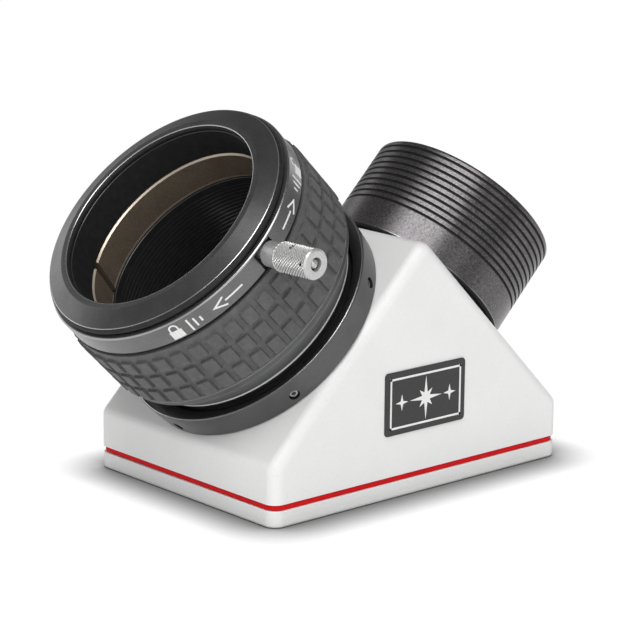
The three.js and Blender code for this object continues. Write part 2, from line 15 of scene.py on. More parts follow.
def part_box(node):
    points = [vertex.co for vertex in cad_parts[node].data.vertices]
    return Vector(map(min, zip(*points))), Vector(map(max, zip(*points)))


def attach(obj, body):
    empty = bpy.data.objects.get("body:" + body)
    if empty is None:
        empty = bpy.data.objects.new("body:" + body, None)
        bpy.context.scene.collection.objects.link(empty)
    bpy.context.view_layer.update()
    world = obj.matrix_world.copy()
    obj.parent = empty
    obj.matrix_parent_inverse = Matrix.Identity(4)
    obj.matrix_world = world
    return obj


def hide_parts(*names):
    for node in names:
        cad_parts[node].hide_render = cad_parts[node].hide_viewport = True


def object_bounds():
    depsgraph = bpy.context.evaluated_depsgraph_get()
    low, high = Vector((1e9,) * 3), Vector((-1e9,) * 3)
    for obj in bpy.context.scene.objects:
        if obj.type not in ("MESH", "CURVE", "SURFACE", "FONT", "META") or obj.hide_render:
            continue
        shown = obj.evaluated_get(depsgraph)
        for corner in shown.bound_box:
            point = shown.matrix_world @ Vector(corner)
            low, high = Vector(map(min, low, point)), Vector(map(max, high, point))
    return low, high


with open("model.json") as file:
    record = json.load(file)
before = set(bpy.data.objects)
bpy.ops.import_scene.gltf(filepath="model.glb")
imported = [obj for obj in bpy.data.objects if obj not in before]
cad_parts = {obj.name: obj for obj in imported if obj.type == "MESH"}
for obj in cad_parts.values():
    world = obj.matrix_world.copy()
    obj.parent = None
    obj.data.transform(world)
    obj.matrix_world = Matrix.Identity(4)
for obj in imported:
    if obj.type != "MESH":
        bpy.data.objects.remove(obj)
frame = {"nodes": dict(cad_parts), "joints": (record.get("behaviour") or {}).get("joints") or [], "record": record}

CAD_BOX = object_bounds()
RECORD = frame["record"]
BODY_OF = {node: body for body, nodes in RECORD["behaviour"]["bodies"].items() for node in nodes}
MM = 0.001

# ---- Sizes, in millimetres ----

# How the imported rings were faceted, and an angle where nothing is cut into them
FACETS = 48
CLEAR_ANGLE = radians(123.75)

# How many sides the fine rounds have, and how sharp an edge stays a crease
ROUND = 192
SMALL_ROUND = 48
CREASE_ANGLE = radians(32)

# How near counts as on a surface and at an end, and how far a cutter runs past what it cuts
NEAR = 0.01
CLOSE = 0.1
OVERRUN = 1
SHORTEST_WALL = 1
WELD_GAP = 0.004
SHORT_BEND = 0.15
SAME_POINT = 1e-8

# A groove's section: shares of its width across and of its depth down
GROOVE_SECTION = ((-0.5, 0), (-0.3, 0.8), (0, 1), (0.3, 0.8), (0.5, 0))

# Housing and base
END_WALL_TOP = 14.84
EDGE_RADIUS = 3.2
SIDE_EDGE = 3.0
EDGE_STEPS = 8
WALL = 4.0
SLOPE_WALL = 4.5
BOSS_RADIUS = 4.8
BOSS_HOLE = 1.55
BOSS_OVER_SCREW = 2.5
BOSS_ROOF = 1.5
PORT_GAP = 0.3
BASE_SOFT_EDGE = 0.75
BASE_TOP_EDGE = 0.2
COUNTERSINK_RADIUS = 3.6
COUNTERSINK_DEPTH = 2.3
SEAL_OPENING = (62, 42)
SEAL_ROUND = 0.4
SEAL_UNDERCUT = 1.0
SEAL_UNDERCUT_AT_FRONT = 0.35
MIRROR_CHAMFER = 0.4
MIRROR_CORNER = 1.0
PAD_EDGE = 0.3

# Screws
HEX_SOCKET = 1.1
HEX_DEPTH = 1.1
GRUB_HEX = 0.55
GRUB_HOLE = 1.35
LEAST_SHAFT = 1.25
HEAD_EDGE = 0.2
SHAFT_CHAMFER = 0.4
THREAD_START = 2.2
THREAD_MARGIN = 0.5
THREAD_PITCH = 0.5
THREAD_DEPTH = 0.15

# Badge
BADGE_CORNER = 1.0
BADGE_FRAME_INSET = 1.5
BADGE_FRAME_WIDTH = 0.5
BADGE_EDGES = (0.05, 0.15)
BADGE_STAR = (8, 5.3, 2.9, 1.35)
BADGE_SMALL_STAR = (4, 2.0, 2.0, 0.55)
BADGE_STAR_SPACING = 7.9
PRINT_DEPTH = 0.02
PRINT_THICKNESS = 0.06

# Nosepiece
NECK_TOP = 4.6
NECK_LINE = 0.16
RIM_ROUND = 0.75
GROOVE_COUNT = 10
GROOVE_TOP_MARGIN = 1.85
GROOVE_PITCH = 1.79
GROOVE_WIDTH = 0.75
GROOVE_DEPTH = 0.45
FILTER_PITCH = 0.75
FILTER_DEPTH = 0.32
BAFFLE_PITCH = 1.2
BAFFLE_DEPTH = 0.25

# Clamp
RIB_PITCH = 1.1
RIB_DEPTH = 0.025
CONE_LAND_PROUD = 0.35
CONE_LAND_HEIGHT = 0.4
CONE_REACH = 0.15
BRASS_CHAMFER = 0.4
BRASS_LIP_HEIGHT = 0.85
BRASS_LIP_DEPTH = 0.35
SLOT_ANGLE = radians(-149.3)
SLOT_HALF = 0.95
SLOT_LEAN = radians(13)
ROLLER_TRAVEL = 0.6
LOCK_ANGLE = radians(35)
ROLLER_EDGE = 0.35
POCKET_MARGIN = radians(5.5)
POCKET_GAP = 0.2
POCKET_STEPS = 24
WINDOW_HALF = 1.9
WINDOW_REACH = 31
WINDOW_OVER = 0.4
BAND_CHAMFER = 0.4

# Rubber grip: rows of raised pads on a plain sleeve
PAD_COLUMNS = 44
PAD_ROWS = 3
PAD_FIRST_ANGLE = radians(3.1)
PAD_TOP_ROW = 29.5
PAD_PITCH = 5.5
PAD_HEIGHT = 4.1
PAD_WIDTH = 3.25
PAD_RELIEF = 0.7
PAD_WALL = 0.2
LIP_DROP = 0.2
LIP_PROUD = 0.3
LIP_HEIGHT = 0.45

# Lever
KNURL_COUNT = 26
KNURL_STEPS = 8
KNURL_DEPTH = 0.36
KNURL_SLOPE = 1.6
KNURL_FADE = 0.3
LEVER_NECK_START = 34.4
LEVER_NECK_END = 38.7
LEVER_NECK = 3.0
LEVER_NECK_ROUND = 0.7
LEVER_CHAMFER = 0.4
LEVER_HOLE = 1.55
LEVER_HOLE_DEPTH = 1.4
LEVER_RIVET = 1.05
LEVER_RIVET_DROP = 0.65
LEVER_RIVET_TOP = 0.15
LEVER_RIVET_ROUND = 0.4
LEVER_STUD = 1.8
LEVER_SOCKET = 2.1
NICKS = ((-26, 43.4, 1.9), (40, 48.5, 1.1))
NICK_HEIGHT = 0.5
NICK_DEPTH = 0.5
NOTCH_HALF = 3.0
NOTCH_FLOOR = 31.8
NOTCH_TOP = 39.4

# Marks on the band, placed by how far round it and how high on it they are
MARK_HEIGHT = 36.9
MARK_STROKE = 0.46
MARK_STEP = 0.5
MARK_SUNK = -0.05
MARK_RAISED = 0.035
PADLOCK_STROKE = 0.42
PADLOCK_HALF = 1.55
PADLOCK_ROWS = 6
PADLOCK_ROW_STEP = 0.4
SHACKLE_RADIUS = 0.95
SHACKLE_LEG = 0.7
SHACKLE_RISE = 0.75
SHACKLE_SHIFT = 1.6

# ---- Frame measuring ----


def spot_at(origin, axis, across):
    """The matrix from millimetres about an axis to the row frame: Z is the axis and X points across."""
    z = Vector(axis).normalized()
    x = Vector(across).normalized()
    basis = Matrix((x, z.cross(x), z)).transposed().to_4x4()
    return Matrix.Translation(origin) @ basis @ Matrix.Scale(MM, 4)


swivel = next(joint for joint in frame["joints"] if joint["name"] == "clamp_swivel")
FORWARD = Vector((0, -1, 0))
CLAMP = spot_at(swivel["pos_m"], swivel["axis"], FORWARD)
MIRRORED = Matrix.Diagonal((-1, 1, 1))
NOSE = spot_at(MIRRORED @ Vector(swivel["pos_m"]), MIRRORED @ Vector(swivel["axis"]), FORWARD)
UPRIGHT = spot_at((0, 0, 0), (0, 0, 1), (1, 0, 0))


def points_of(node, spot):
    back = spot.inverted()
    return [back @ v.co for v in frame["nodes"][node].data.vertices]


def reach(node, spot):
    """(inner radius, outer radius, lowest, highest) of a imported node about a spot's axis."""
    points = points_of(node, spot)
    radii = [hypot(p.x, p.y) for p in points]
    heights = [p.z for p in points]
    return min(radii), max(radii), min(heights), max(heights)


def middle_of(node, spot):
    points = points_of(node, spot)
    low = [min(p[i] for p in points) for i in range(3)]
    high = [max(p[i] for p in points) for i in range(3)]
    return (Vector(low) + Vector(high)) / 2


def radial_spot(node, spot):
    """The spot of a piece that lies along another spot's radius: its Z runs out from the axis."""
    middle = middle_of(node, spot)
    out = spot.to_3x3() @ Vector((middle.x, middle.y, 0))
    return spot_at(spot @ Vector((0, 0, middle.z)), out, spot.to_3x3() @ Vector((0, 0, 1)))


def parallel_spot(node, spot):
    """The spot of a piece whose own axis runs alongside another spot's."""
    middle = middle_of(node, spot)
    rotation = spot.to_3x3()
    foot = spot @ Vector((middle.x, middle.y, 0))
    return spot_at(foot, rotation @ Vector((0, 0, 1)), rotation @ Vector((1, 0, 0)))


def section(node, spot):
    """A turned node's closed outline [(radius, height)], anticlockwise, cut midway between two facets."""
    mesh = bmesh.new()
    mesh.from_mesh(frame["nodes"][node].data)
    mesh.transform(spot.inverted())
    bmesh.ops.remove_doubles(mesh, verts=mesh.verts, dist=1e-3)
    out = Vector((cos(CLEAR_ANGLE), sin(CLEAR_ANGLE), 0))
    side = Vector((-out.y, out.x, 0))
    everything = mesh.verts[:] + mesh.edges[:] + mesh.faces[:]
    plane = {"plane_co": (0, 0, 0), "plane_no": side}
    crossing = bmesh.ops.bisect_plane(mesh, geom=everything, dist=1e-6, **plane)["geom_cut"]
    links = {}
    for edge in crossing:
        if isinstance(edge, bmesh.types.BMEdge) and all(v.co.dot(out) > 0 for v in edge.verts):
            for v in edge.verts:
                links.setdefault(v, []).append(edge.other_vert(v))
    start = next(iter(links))
    loop = [start, links[start][0]]
    while loop[-1] is not start:
        loop.append(next(v for v in links[loop[-1]] if v is not loop[-2]))
    outline = [Vector((v.co.dot(out) / cos(pi / FACETS), v.co.z)) for v in loop[:-1]]
    mesh.free()
    outline = without_straight(outline)
    area = sum(a.cross(b) for a, b in zip(outline, outline[1:] + outline[:1]))
    return outline if area > 0 else outline[::-1]


def without_straight(outline):
    """A closed outline without the points that lie on a straight run."""
    kept = []
    for i, point in enumerate(outline):
        before = point - outline[i - 1]
        after = outline[(i + 1) % len(outline)] - point
        if abs(before.cross(after)) > 0.01 * before.length * after.length:
            kept.append(point)
    return kept


# ---- Mesh making ----


def put(name, data):
    """An object added to the scene."""
    thing = bpy.data.objects.new(name, data)
    bpy.context.scene.collection.objects.link(thing)
    return thing


@contextmanager
def editing(mesh):
    work = bmesh.new()
    work.from_mesh(mesh)
    yield work
    work.to_mesh(mesh)
    work.free()


def new_piece(name, spot, verts, faces, materials, slots=None):
    """A mesh object in the row frame from points in a spot's millimetres."""
    mesh = bpy.data.meshes.new(name)
    mesh.from_pydata(verts, [], faces)
    mesh.transform(spot)
    for m in materials:
        mesh.materials.append(m)
    if slots:
        mesh.polygons.foreach_set("material_index", slots)
    with editing(mesh) as work:
        bmesh.ops.remove_doubles(work, verts=work.verts, dist=SAME_POINT)
    return put(name, mesh)


def soften(outline, size, bright=None, steps=3):
    """Rows (radius, height, slot) of an outline with rounded corners; bright(corner) gives one slot 1."""
    rows = []
    for i, corner in enumerate(outline):
        before = Vector(outline[i - 1]) - Vector(corner)
        after = Vector(outline[(i + 1) % len(outline)]) - Vector(corner)
        wanted = size(corner) if callable(size) else size
        taken = min(wanted, 0.45 * before.length, 0.45 * after.length)
        start = Vector(corner) + before.normalized() * taken
        end = Vector(corner) + after.normalized() * taken
        slot = 1 if bright and bright(corner) else 0
        for k in range(steps + 1):
            t = k / steps
            p = start * (1 - t) ** 2 + Vector(corner) * 2 * t * (1 - t) + end * t**2
            rows.append((p.x, p.y, slot if k < steps else 0))
    return rows


def on_wall(rows, radius, redraw):
    """Rows with each upright wall at a radius redrawn: redraw(start, end) gives the points in between."""
    made = []
    for i, row in enumerate(rows):
        made.append(row)
        after = rows[(i + 1) % len(rows)]
        upright = abs(row[0] - radius) < NEAR and abs(after[0] - radius) < NEAR
        if upright and abs(after[1] - row[1]) > SHORTEST_WALL:
            made += [(*point, 0)[:3] for point in redraw(row[1], after[1])]
    return made


def grooves(radius, heights, width, depth, slot=0):
    """A redraw for on_wall that sinks a round groove at each height; a bore's depth is negative."""

    def redraw(start, end):
        low, high = sorted((start, end))
        way = 1 if end > start else -1
        fitting = [h for h in heights if low + width < h < high - width]
        points = []
        for height in sorted(fitting)[::way]:
            for across, down in GROOVE_SECTION:
                inside = slot if across < 0.4 else 0
                points.append((radius - down * depth, height + way * across * width, inside))
        return points

    return redraw


def steps_between(low, high, pitch):
    count = int((high - low) / pitch)
    return [low + (i + 0.5) * pitch for i in range(count)]


def even_angles(count):
    return [2 * pi * i / count for i in range(count)]


def turned(name, spot, rows, materials, angles=None, relief=None):
    """Rows turned about a spot's axis; relief(angle, radius, height) gives a point's own radius."""
    angles = angles or even_angles(ROUND)
    verts = []
    for angle in angles:
        for radius, height, _ in rows:
            r = relief(angle, radius, height) if relief else radius
            verts.append((r * cos(angle), r * sin(angle), height))
    faces = []
    count = len(rows)
    for j in range(len(angles)):
        a = j * count
        b = (j + 1) % len(angles) * count
        for i in range(count):
            k = (i + 1) % count
            faces.append((a + i, b + i, b + k, a + k))
    slots = [row[2] for row in rows] * len(angles)
    return smooth(drop_flat(new_piece(name, spot, verts, faces, materials, slots)))


def drop_flat(piece):
    """The piece without the faces and edges that shrank to nothing on its axis."""
    with editing(piece.data) as work:
        bmesh.ops.dissolve_degenerate(work, dist=SAME_POINT, edges=work.edges)
        loose = [v for v in work.verts if not v.link_faces]
        bmesh.ops.delete(work, geom=loose, context="VERTS")
    return piece


def smooth(piece):
    """Smooth shading with sharp creases, weighted so that wide faces stay flat."""
    piece.data.shade_smooth()
    piece.data.set_sharp_from_angle(angle=CREASE_ANGLE)
    weighted = piece.modifiers.new("weighted", "WEIGHTED_NORMAL")
    weighted.keep_sharp = True
    return piece


def loft(name, spot, loops, materials, ring=False):
    """Loops with equal counts of points joined in order, and the ends capped, or joined in a ring."""
    verts = [p for loop in loops for p in loop]
    count = len(loops[0])
    faces = []
    for j in range(len(loops) if ring else len(loops) - 1):
        a = j * count
        b = (j + 1) % len(loops) * count
        for i in range(count):
            k = (i + 1) % count
            faces.append((a + i, a + k, b + k, b + i))
    if not ring:
        faces.append(tuple(reversed(range(count))))
        faces.append(tuple(range(len(verts) - count, len(verts))))
    return smooth(new_piece(name, spot, verts, faces, materials))


def at_height(outline, z):
    return [(x, y, z) for x, y in outline]


def prism(name, spot, outline, bottom, top, material):
    """An anticlockwise outline raised from bottom to top."""
    return loft(name, spot, [at_height(outline, z) for z in (bottom, top)], [material])


def rod(name, spot, radius, bottom, top, material, steps=SMALL_ROUND):
    outline = [(radius * cos(a), radius * sin(a)) for a in even_angles(steps)]
    return prism(name, spot, outline, bottom, top, material)


def quarter(radius, steps=EDGE_STEPS):
    """(inset, depth) pairs down a rounded edge, from the flat face to the side."""
    turns = [pi / 2 * i / steps for i in range(steps + 1)]
    return [(radius * (1 - sin(a)), radius * (1 - cos(a))) for a in turns]


def rounded_loop(corners, radius, inset=0, steps=EDGE_STEPS):
    """A convex anticlockwise outline with rounded corners, every side moved in by inset."""
    points = []
    for i, corner in enumerate(corners):
        b = Vector(corner)
        before = (Vector(corners[i - 1]) - b).normalized()
        after = (Vector(corners[(i + 1) % len(corners)]) - b).normalized()
        half = before.angle(after) / 2
        centre = b + (before + after).normalized() * (radius / sin(half))
        first = b + before * (radius / tan(half)) - centre
        turn = pi - 2 * half
        for k in range(steps + 1):
            arm = Matrix.Rotation(turn * k / steps, 2) @ first.normalized()
            points.append(centre + arm * (radius - inset))
    return points


def rectangle(length, width):
    x, y = length / 2, width / 2
    return [(-x, -y), (x, -y), (x, y), (-x, y)]


def slab(name, spot, loop_at, bottom, top, bottom_edge, top_edge, materials):
    """A flat piece whose outline is loop_at(inset), with its lower and upper edges rounded."""
    levels = [(inset, bottom + depth) for inset, depth in quarter(bottom_edge)]
    levels += [(inset, top - depth) for inset, depth in reversed(quarter(top_edge))]
    return loft(name, spot, [at_height(loop_at(inset), z) for inset, z in levels], materials)


def cut(piece, cutters):
    """The piece with every cutter taken away; the cut faces keep the cutters' materials."""
    for cutter in cutters:
        cutter.modifiers.clear()
        change = piece.modifiers.new("cut", "BOOLEAN")
        change.operation = "DIFFERENCE"
        change.solver = "EXACT"
        change.material_mode = "TRANSFER"
        change.object = cutter
        piece.modifiers.move(len(piece.modifiers) - 1, 0)
        apply_all(piece)
        bpy.data.objects.remove(cutter)
    weld(piece)
    return smooth(piece)


def weld(piece):
    """Points too close together made one, and short bends between two faces made straight: no slivers."""
    with editing(piece.data) as work:
        bmesh.ops.remove_doubles(work, verts=work.verts, dist=WELD_GAP * MM)
        bmesh.ops.dissolve_degenerate(work, dist=WELD_GAP * MM, edges=work.edges)
        bends = [v for v in work.verts if len(v.link_edges) == 2]
        short = [v for v in bends if min(e.calc_length() for e in v.link_edges) < SHORT_BEND * MM]
        bmesh.ops.dissolve_verts(work, verts=short)


def apply_all(piece):
    """The piece's modifiers made final, weighted normals left out."""
    for m in [m for m in piece.modifiers if m.type == "WEIGHTED_NORMAL"]:
        piece.modifiers.remove(m)
    bpy.context.view_layer.update()
    final = bpy.data.meshes.new_from_object(piece.evaluated_get(bpy.context.evaluated_depsgraph_get()))
    piece.modifiers.clear()
    piece.data = final


def stand_for(piece, node):
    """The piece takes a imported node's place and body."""
    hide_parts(node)
    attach(piece, BODY_OF[node])
    return piece


def add_trim(piece, node):
    """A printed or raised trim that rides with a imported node."""
    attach(piece, BODY_OF[node])
    return piece


# ---- Materials ----


class Look:
    """A material in the making: its principled shader, and short ways to wire what varies on it."""

    def __init__(self, name, color, roughness, metallic=0.0, spot=None, **constants):
        self.material = bpy.data.materials.new(name)
        self.material.use_nodes = True
        self.tree = self.material.node_tree
        self.shader = self.tree.nodes["Principled BSDF"]
        self.color = color
        self.shader.inputs["Base Color"].default_value = (*color, 1)
        self.shader.inputs["Roughness"].default_value = roughness
        self.shader.inputs["Metallic"].default_value = metallic
        for socket, value in constants.items():
            self.shader.inputs[socket.replace("_", " ").title().replace("Ior", "IOR")].default_value = value
        self.bumps = None
        self.place = self.node("TexCoord").outputs["Object"]
        self.lathe = self.turned_place(spot) if spot else None

    def feed(self, socket, value):
        if isinstance(value, bpy.types.NodeSocket):
            self.tree.links.new(value, socket)
        else:
            socket.default_value = value

    def node(self, kind, **inputs):
        """A new node with inputs set or wired; an input's name has _ for a space."""
        node = self.tree.nodes.new("ShaderNode" + kind)
        for name, value in inputs.items():
            self.feed(node.inputs[name.replace("_", " ")], value)
        return node

    def math(self, operation, first, second=0.0, kind="Math", output=0):
        node = self.node(kind)
        node.operation = operation
        for socket, value in zip(node.inputs, (first, second)):
            self.feed(socket, value)
        return node.outputs[output]

    def along(self, way, origin):
        """The distance from an origin along a direction, in metres."""
        offset = self.math("SUBTRACT", self.place, origin, "VectorMath")
        return self.math("DOT_PRODUCT", offset, way, "VectorMath", "Value")

    def turned_place(self, spot, round_share=0.02):
        """Coordinates in which a pattern is drawn out round a spot's axis, as a lathe leaves it."""
        rotation = spot.to_3x3().normalized()
        origin = spot.translation
        x, y, height = (self.along(rotation.col[i], origin) for i in range(3))
        squares = (self.math("MULTIPLY", x, x), self.math("MULTIPLY", y, y))
        radius = self.math("SQRT", self.math("ADD", *squares))
        angle = self.math("ARCTAN2", y, x)
        around = self.math("MULTIPLY", angle, round_share)
        return self.node("CombineXYZ", X=radius, Y=height, Z=around).outputs[0]

    def noise(self, size, detail, turned=False, contrast=None):
        """Noise from 0 to 1 with lumps of about a size in millimetres; contrast is what becomes 0 and 1."""
        place = self.lathe if turned else self.place
        lumps = self.node("TexNoise", Vector=place, Scale=1 / (size * MM), Detail=detail).outputs["Fac"]
        if not contrast:
            return lumps
        low, high = contrast
        return self.node("MapRange", Value=lumps, From_Min=low, From_Max=high).outputs["Result"]

    def tint(self, size, detail, contrast, other, turned=False):
        """Blends the colour towards another in lumps."""
        amount = self.noise(size, detail, turned, contrast)
        mix = self.node("Mix")
        mix.data_type = "RGBA"
        self.feed(mix.inputs["Factor"], amount)
        socket = self.shader.inputs["Base Color"]
        if socket.is_linked:
            self.feed(mix.inputs["A"], socket.links[0].from_socket)
        else:
            mix.inputs["A"].default_value = (*self.color, 1)
        mix.inputs["B"].default_value = (*other, 1)
        self.tree.links.new(mix.outputs["Result"], socket)
        return self

    def rough(self, size, low, high, turned=False):
        """Lets the roughness wander from low to high."""
        spread = self.node("MapRange", Value=self.noise(size, 2, turned), To_Min=low, To_Max=high)
        self.feed(self.shader.inputs["Roughness"], spread.outputs["Result"])
        return self

    def bump(self, size, detail, depth, turned=False):
        """Adds relief of a depth in millimetres; each further relief lies on the last."""
        height = self.noise(size, detail, turned)
        below = {"Normal": self.bumps} if self.bumps else {}
        relief = self.node("Bump", Strength=1.0, Distance=depth * MM, Height=height, **below)
        self.bumps = relief.outputs["Normal"]
        self.feed(self.shader.inputs["Normal"], self.bumps)
        return self


def anodised(name, spot, color=(0.10, 0.10, 0.102), roughness=(0.26, 0.38), metallic=0.7):
    """Satin anodised aluminium with faint marks from the lathe."""
    look = Look(name, color, roughness[0], metallic, spot)
    look.tint(0.25, 2, (0.35, 0.8), tuple(1.2 * c for c in color), turned=True)
    look.tint(6, 2, (0.45, 0.8), tuple(0.85 * c for c in color))
    look.rough(0.4, *roughness, turned=True)
    return look.bump(0.12, 2, 0.002, turned=True).bump(0.1, 1, 0.001).material


def bare_edge_and_painted_highlight(name, spot, value, metallic=0.95):
    """A light edge strip for a ring, painted as a highlight line; on the flange and front ring it also stands for
    their bare turned edge.
    """
    look = Look(name, (value, value, value * 1.01), 0.24, metallic, spot)
    return look.rough(0.2, 0.18, 0.32, turned=True).material


look = Look("white_powder_coat", (0.80, 0.80, 0.795), 0.42, specular_ior_level=0.5)
look.tint(14, 3, (0.35, 0.75), (0.77, 0.77, 0.765)).tint(0.35, 1, (0.58, 0.72), (0.74, 0.74, 0.735))
WHITE = look.rough(3, 0.34, 0.5).bump(0.55, 3, 0.03).bump(0.16, 1, 0.008).material

look = Look("red_seal", (0.66, 0.004, 0.007), 0.6, specular_ior_level=0.15)
RED = look.tint(2.5, 2, (0.4, 0.7), (0.56, 0.003, 0.006)).bump(0.3, 2, 0.02).material

# Matte black for the dark insides, also laid as painted shade into gaps, grooves and holes
look = Look("matte_black_and_painted_shade", (0.010, 0.010, 0.011), 0.62, specular_ior_level=0.35)
BLACK_AND_PAINTED_SHADE = look.tint(1.5, 3, (0.4, 0.75), (0.018, 0.018, 0.019)).bump(0.3, 2, 0.01).material

CLAMP_BLACK = anodised("clamp_anodised", CLAMP)
BAND_BLACK = anodised("band_anodised", CLAMP, (0.15, 0.15, 0.152), (0.24, 0.34))
# The cone's lighter grey is painted light, standing in for light bounced onto it from the floor and housing
CONE_PAINTED_LIGHT = anodised("cone_anodised_painted_light", CLAMP, (0.17, 0.17, 0.172), (0.34, 0.46), 0.35)
FACE_BLACK = anodised("front_face_anodised", CLAMP, (0.14, 0.14, 0.142), (0.24, 0.34), 0.85)
NOSE_BLACK = anodised("adapter_anodised", NOSE)

# The nosepiece's finish is coarser, with light and dark specks
look = Look("nosepiece_anodised", (0.120, 0.113, 0.117), 0.32, 0.85)
look.tint(0.4, 1, (0.5, 0.7), (0.185, 0.176, 0.18)).tint(0.55, 1, (0.52, 0.7), (0.075, 0.071, 0.073))
NOSE_SPECKLED = look.rough(0.4, 0.22, 0.38).bump(0.35, 2, 0.012).material

# Lighter edge strips painted as highlight lines; the first is also the bare turned edge of the flange and front
# ring
BARE_EDGE_AND_HIGHLIGHT = bare_edge_and_painted_highlight("bare_turned_edge_and_painted_highlight", CLAMP, 0.6)
LAND_HIGHLIGHT = bare_edge_and_painted_highlight("pale_land_painted_highlight", CLAMP, 0.85, 0.15)
BAND_HIGHLIGHT = bare_edge_and_painted_highlight("band_painted_highlight", CLAMP, 0.38)
NOSE_LINE_HIGHLIGHT = bare_edge_and_painted_highlight("nosepiece_painted_highlight", NOSE, 0.3)

look = Look("grip_rubber", (0.080, 0.080, 0.081), 0.55, specular_ior_level=0.5)
look.tint(1.4, 3, (0.4, 0.7), (0.105, 0.105, 0.106)).tint(0.3, 1, (0.55, 0.75), (0.060, 0.060, 0.061))
RUBBER = look.rough(2, 0.5, 0.7).bump(0.5, 3, 0.03).bump(0.12, 1, 0.01).material

# The corner of the grip's lower lip, painted pale as a highlight
look = Look("rubber_lip_painted_highlight", (0.30, 0.30, 0.30), 0.3)
RUBBER_LIP_HIGHLIGHT = look.tint(1.2, 2, (0.4, 0.7), (0.20, 0.20, 0.20)).material

look = Look("aged_brass", (0.25, 0.195, 0.145), 0.4, 0.6, CLAMP, specular_ior_level=0.6)
look.tint(5, 3, (0.42, 0.62), (0.20, 0.157, 0.12)).tint(0.3, 2, (0.4, 0.8), (0.36, 0.29, 0.21), turned=True)
BRASS = look.rough(2.5, 0.3, 0.48).bump(0.15, 2, 0.004, turned=True).material
# Pale brass painted on two chamfers as highlight lines
BRASS_HIGHLIGHT = Look("brass_painted_highlight", (0.60, 0.52, 0.42), 0.35, 0.6).rough(0.4, 0.3, 0.42).material

look = Look("bright_aluminium", (0.58, 0.58, 0.575), 0.34, 0.6)
look.tint(0.5, 2, (0.45, 0.75), (0.46, 0.46, 0.455))
ALUMINIUM = look.rough(0.6, 0.26, 0.42).bump(0.2, 2, 0.006).material

look = Look("dark_steel", (0.46, 0.46, 0.47), 0.3, 1.0)
STEEL = look.tint(0.6, 2, (0.4, 0.7), (0.34, 0.34, 0.35)).rough(0.4, 0.22, 0.42).material

MIRROR = Look("mirror_coating", (0.93, 0.94, 0.95), 0.02, 1.0).rough(8, 0.012, 0.03).material
GLASS = Look("ground_glass", (0.62, 0.68, 0.66), 0.6).bump(0.3, 2, 0.02).material

look = Look("glide_plastic", (0.020, 0.020, 0.020), 0.5, specular_ior_level=0.3)
PLASTIC = look.tint(3, 2, (0.4, 0.7), (0.028, 0.028, 0.028)).material

look = Look("badge_face", (0.030, 0.030, 0.031), 0.4, specular_ior_level=0.35)
BADGE = look.tint(0.5, 2, (0.4, 0.75), (0.040, 0.040, 0.041)).bump(0.3, 2, 0.004).material

look = Look("white_print", (0.80, 0.80, 0.79), 0.5)
PRINT = look.tint(0.35, 2, (0.5, 0.75), (0.66, 0.66, 0.65)).material

# ---- Housing ----

housing_low, housing_high = (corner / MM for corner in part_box("housing"))
HALF_LENGTH = housing_high.x
HALF_WIDTH = housing_high.y
SEAL_TOP = housing_low.z
RIDGE = END_WALL_TOP + HALF_LENGTH
SIDEWAYS = spot_at((0, 0, 0), (0, -1, 0), (1, 0, 0))
base_screws = sorted(node for node in frame["nodes"] if node.startswith("base_screw"))
screw_spots = [parallel_spot(node, UPRIGHT) for node in base_screws]


def gable_loop(inset):
    """The side view's outline: a rounded ridge and shoulders over straight end walls."""
    far_below = -RIDGE
    corners = [
        (-HALF_LENGTH, far_below),
        (HALF_LENGTH, far_below),
        (HALF_LENGTH, END_WALL_TOP),
        (0, RIDGE),
        (-HALF_LENGTH, END_WALL_TOP),
    ]
    upper = [p for p in rounded_loop(corners, EDGE_RADIUS, inset) if p.y > SEAL_TOP]
    side = HALF_LENGTH - inset
    return [(-side, SEAL_TOP), (side, SEAL_TOP), *upper]


def at_screws(name, radius, top, material):
    """A rod up from the floor at each base screw."""
    return [rod(f"{name}_{i}", spot, radius, 0, top, material) for i, spot in enumerate(screw_spots)]


def build_housing():
    """The shell, hollow but for a boss at each screw, with a round port in each slope."""
    ends = (-HALF_WIDTH, HALF_WIDTH, SIDE_EDGE, SIDE_EDGE)
    shell = slab("housing_fine", SIDEWAYS, gable_loop, *ends, [WHITE, BLACK_AND_PAINTED_SHADE])
    far = HALF_LENGTH - WALL
    ridge = RIDGE - SLOPE_WALL * 2**0.5
    outline = [(-far, 0), (far, 0), (far, ridge - far), (0, ridge), (-far, ridge - far)]
    cavity = prism("cavity", SIDEWAYS, outline, -(HALF_WIDTH - WALL), HALF_WIDTH - WALL, BLACK_AND_PAINTED_SHADE)
    boss_top = reach(base_screws[0], screw_spots[0])[3] + BOSS_OVER_SCREW
    for boss in at_screws("boss", BOSS_RADIUS, boss_top, BLACK_AND_PAINTED_SHADE):
        cut(cavity, [boss])
    holes = at_screws("boss_hole", BOSS_HOLE, boss_top - BOSS_ROOF, BLACK_AND_PAINTED_SHADE)
    spigot_end = reach("clamp_flange", CLAMP)[2]
    ports = []
    for node, spot in (("clamp_flange", CLAMP), ("nosepiece_adapter", NOSE)):
        spigot = max(hypot(p.x, p.y) for p in points_of(node, spot) if p.z < spigot_end + CLOSE)
        port = rod(f"port_{node}", spot, spigot + PORT_GAP, -2 * SLOPE_WALL, SLOPE_WALL, BLACK_AND_PAINTED_SHADE, ROUND)
        ports.append(port)
    return cut(shell, [cavity, *holes, *ports])


stand_for(build_housing(), "housing")


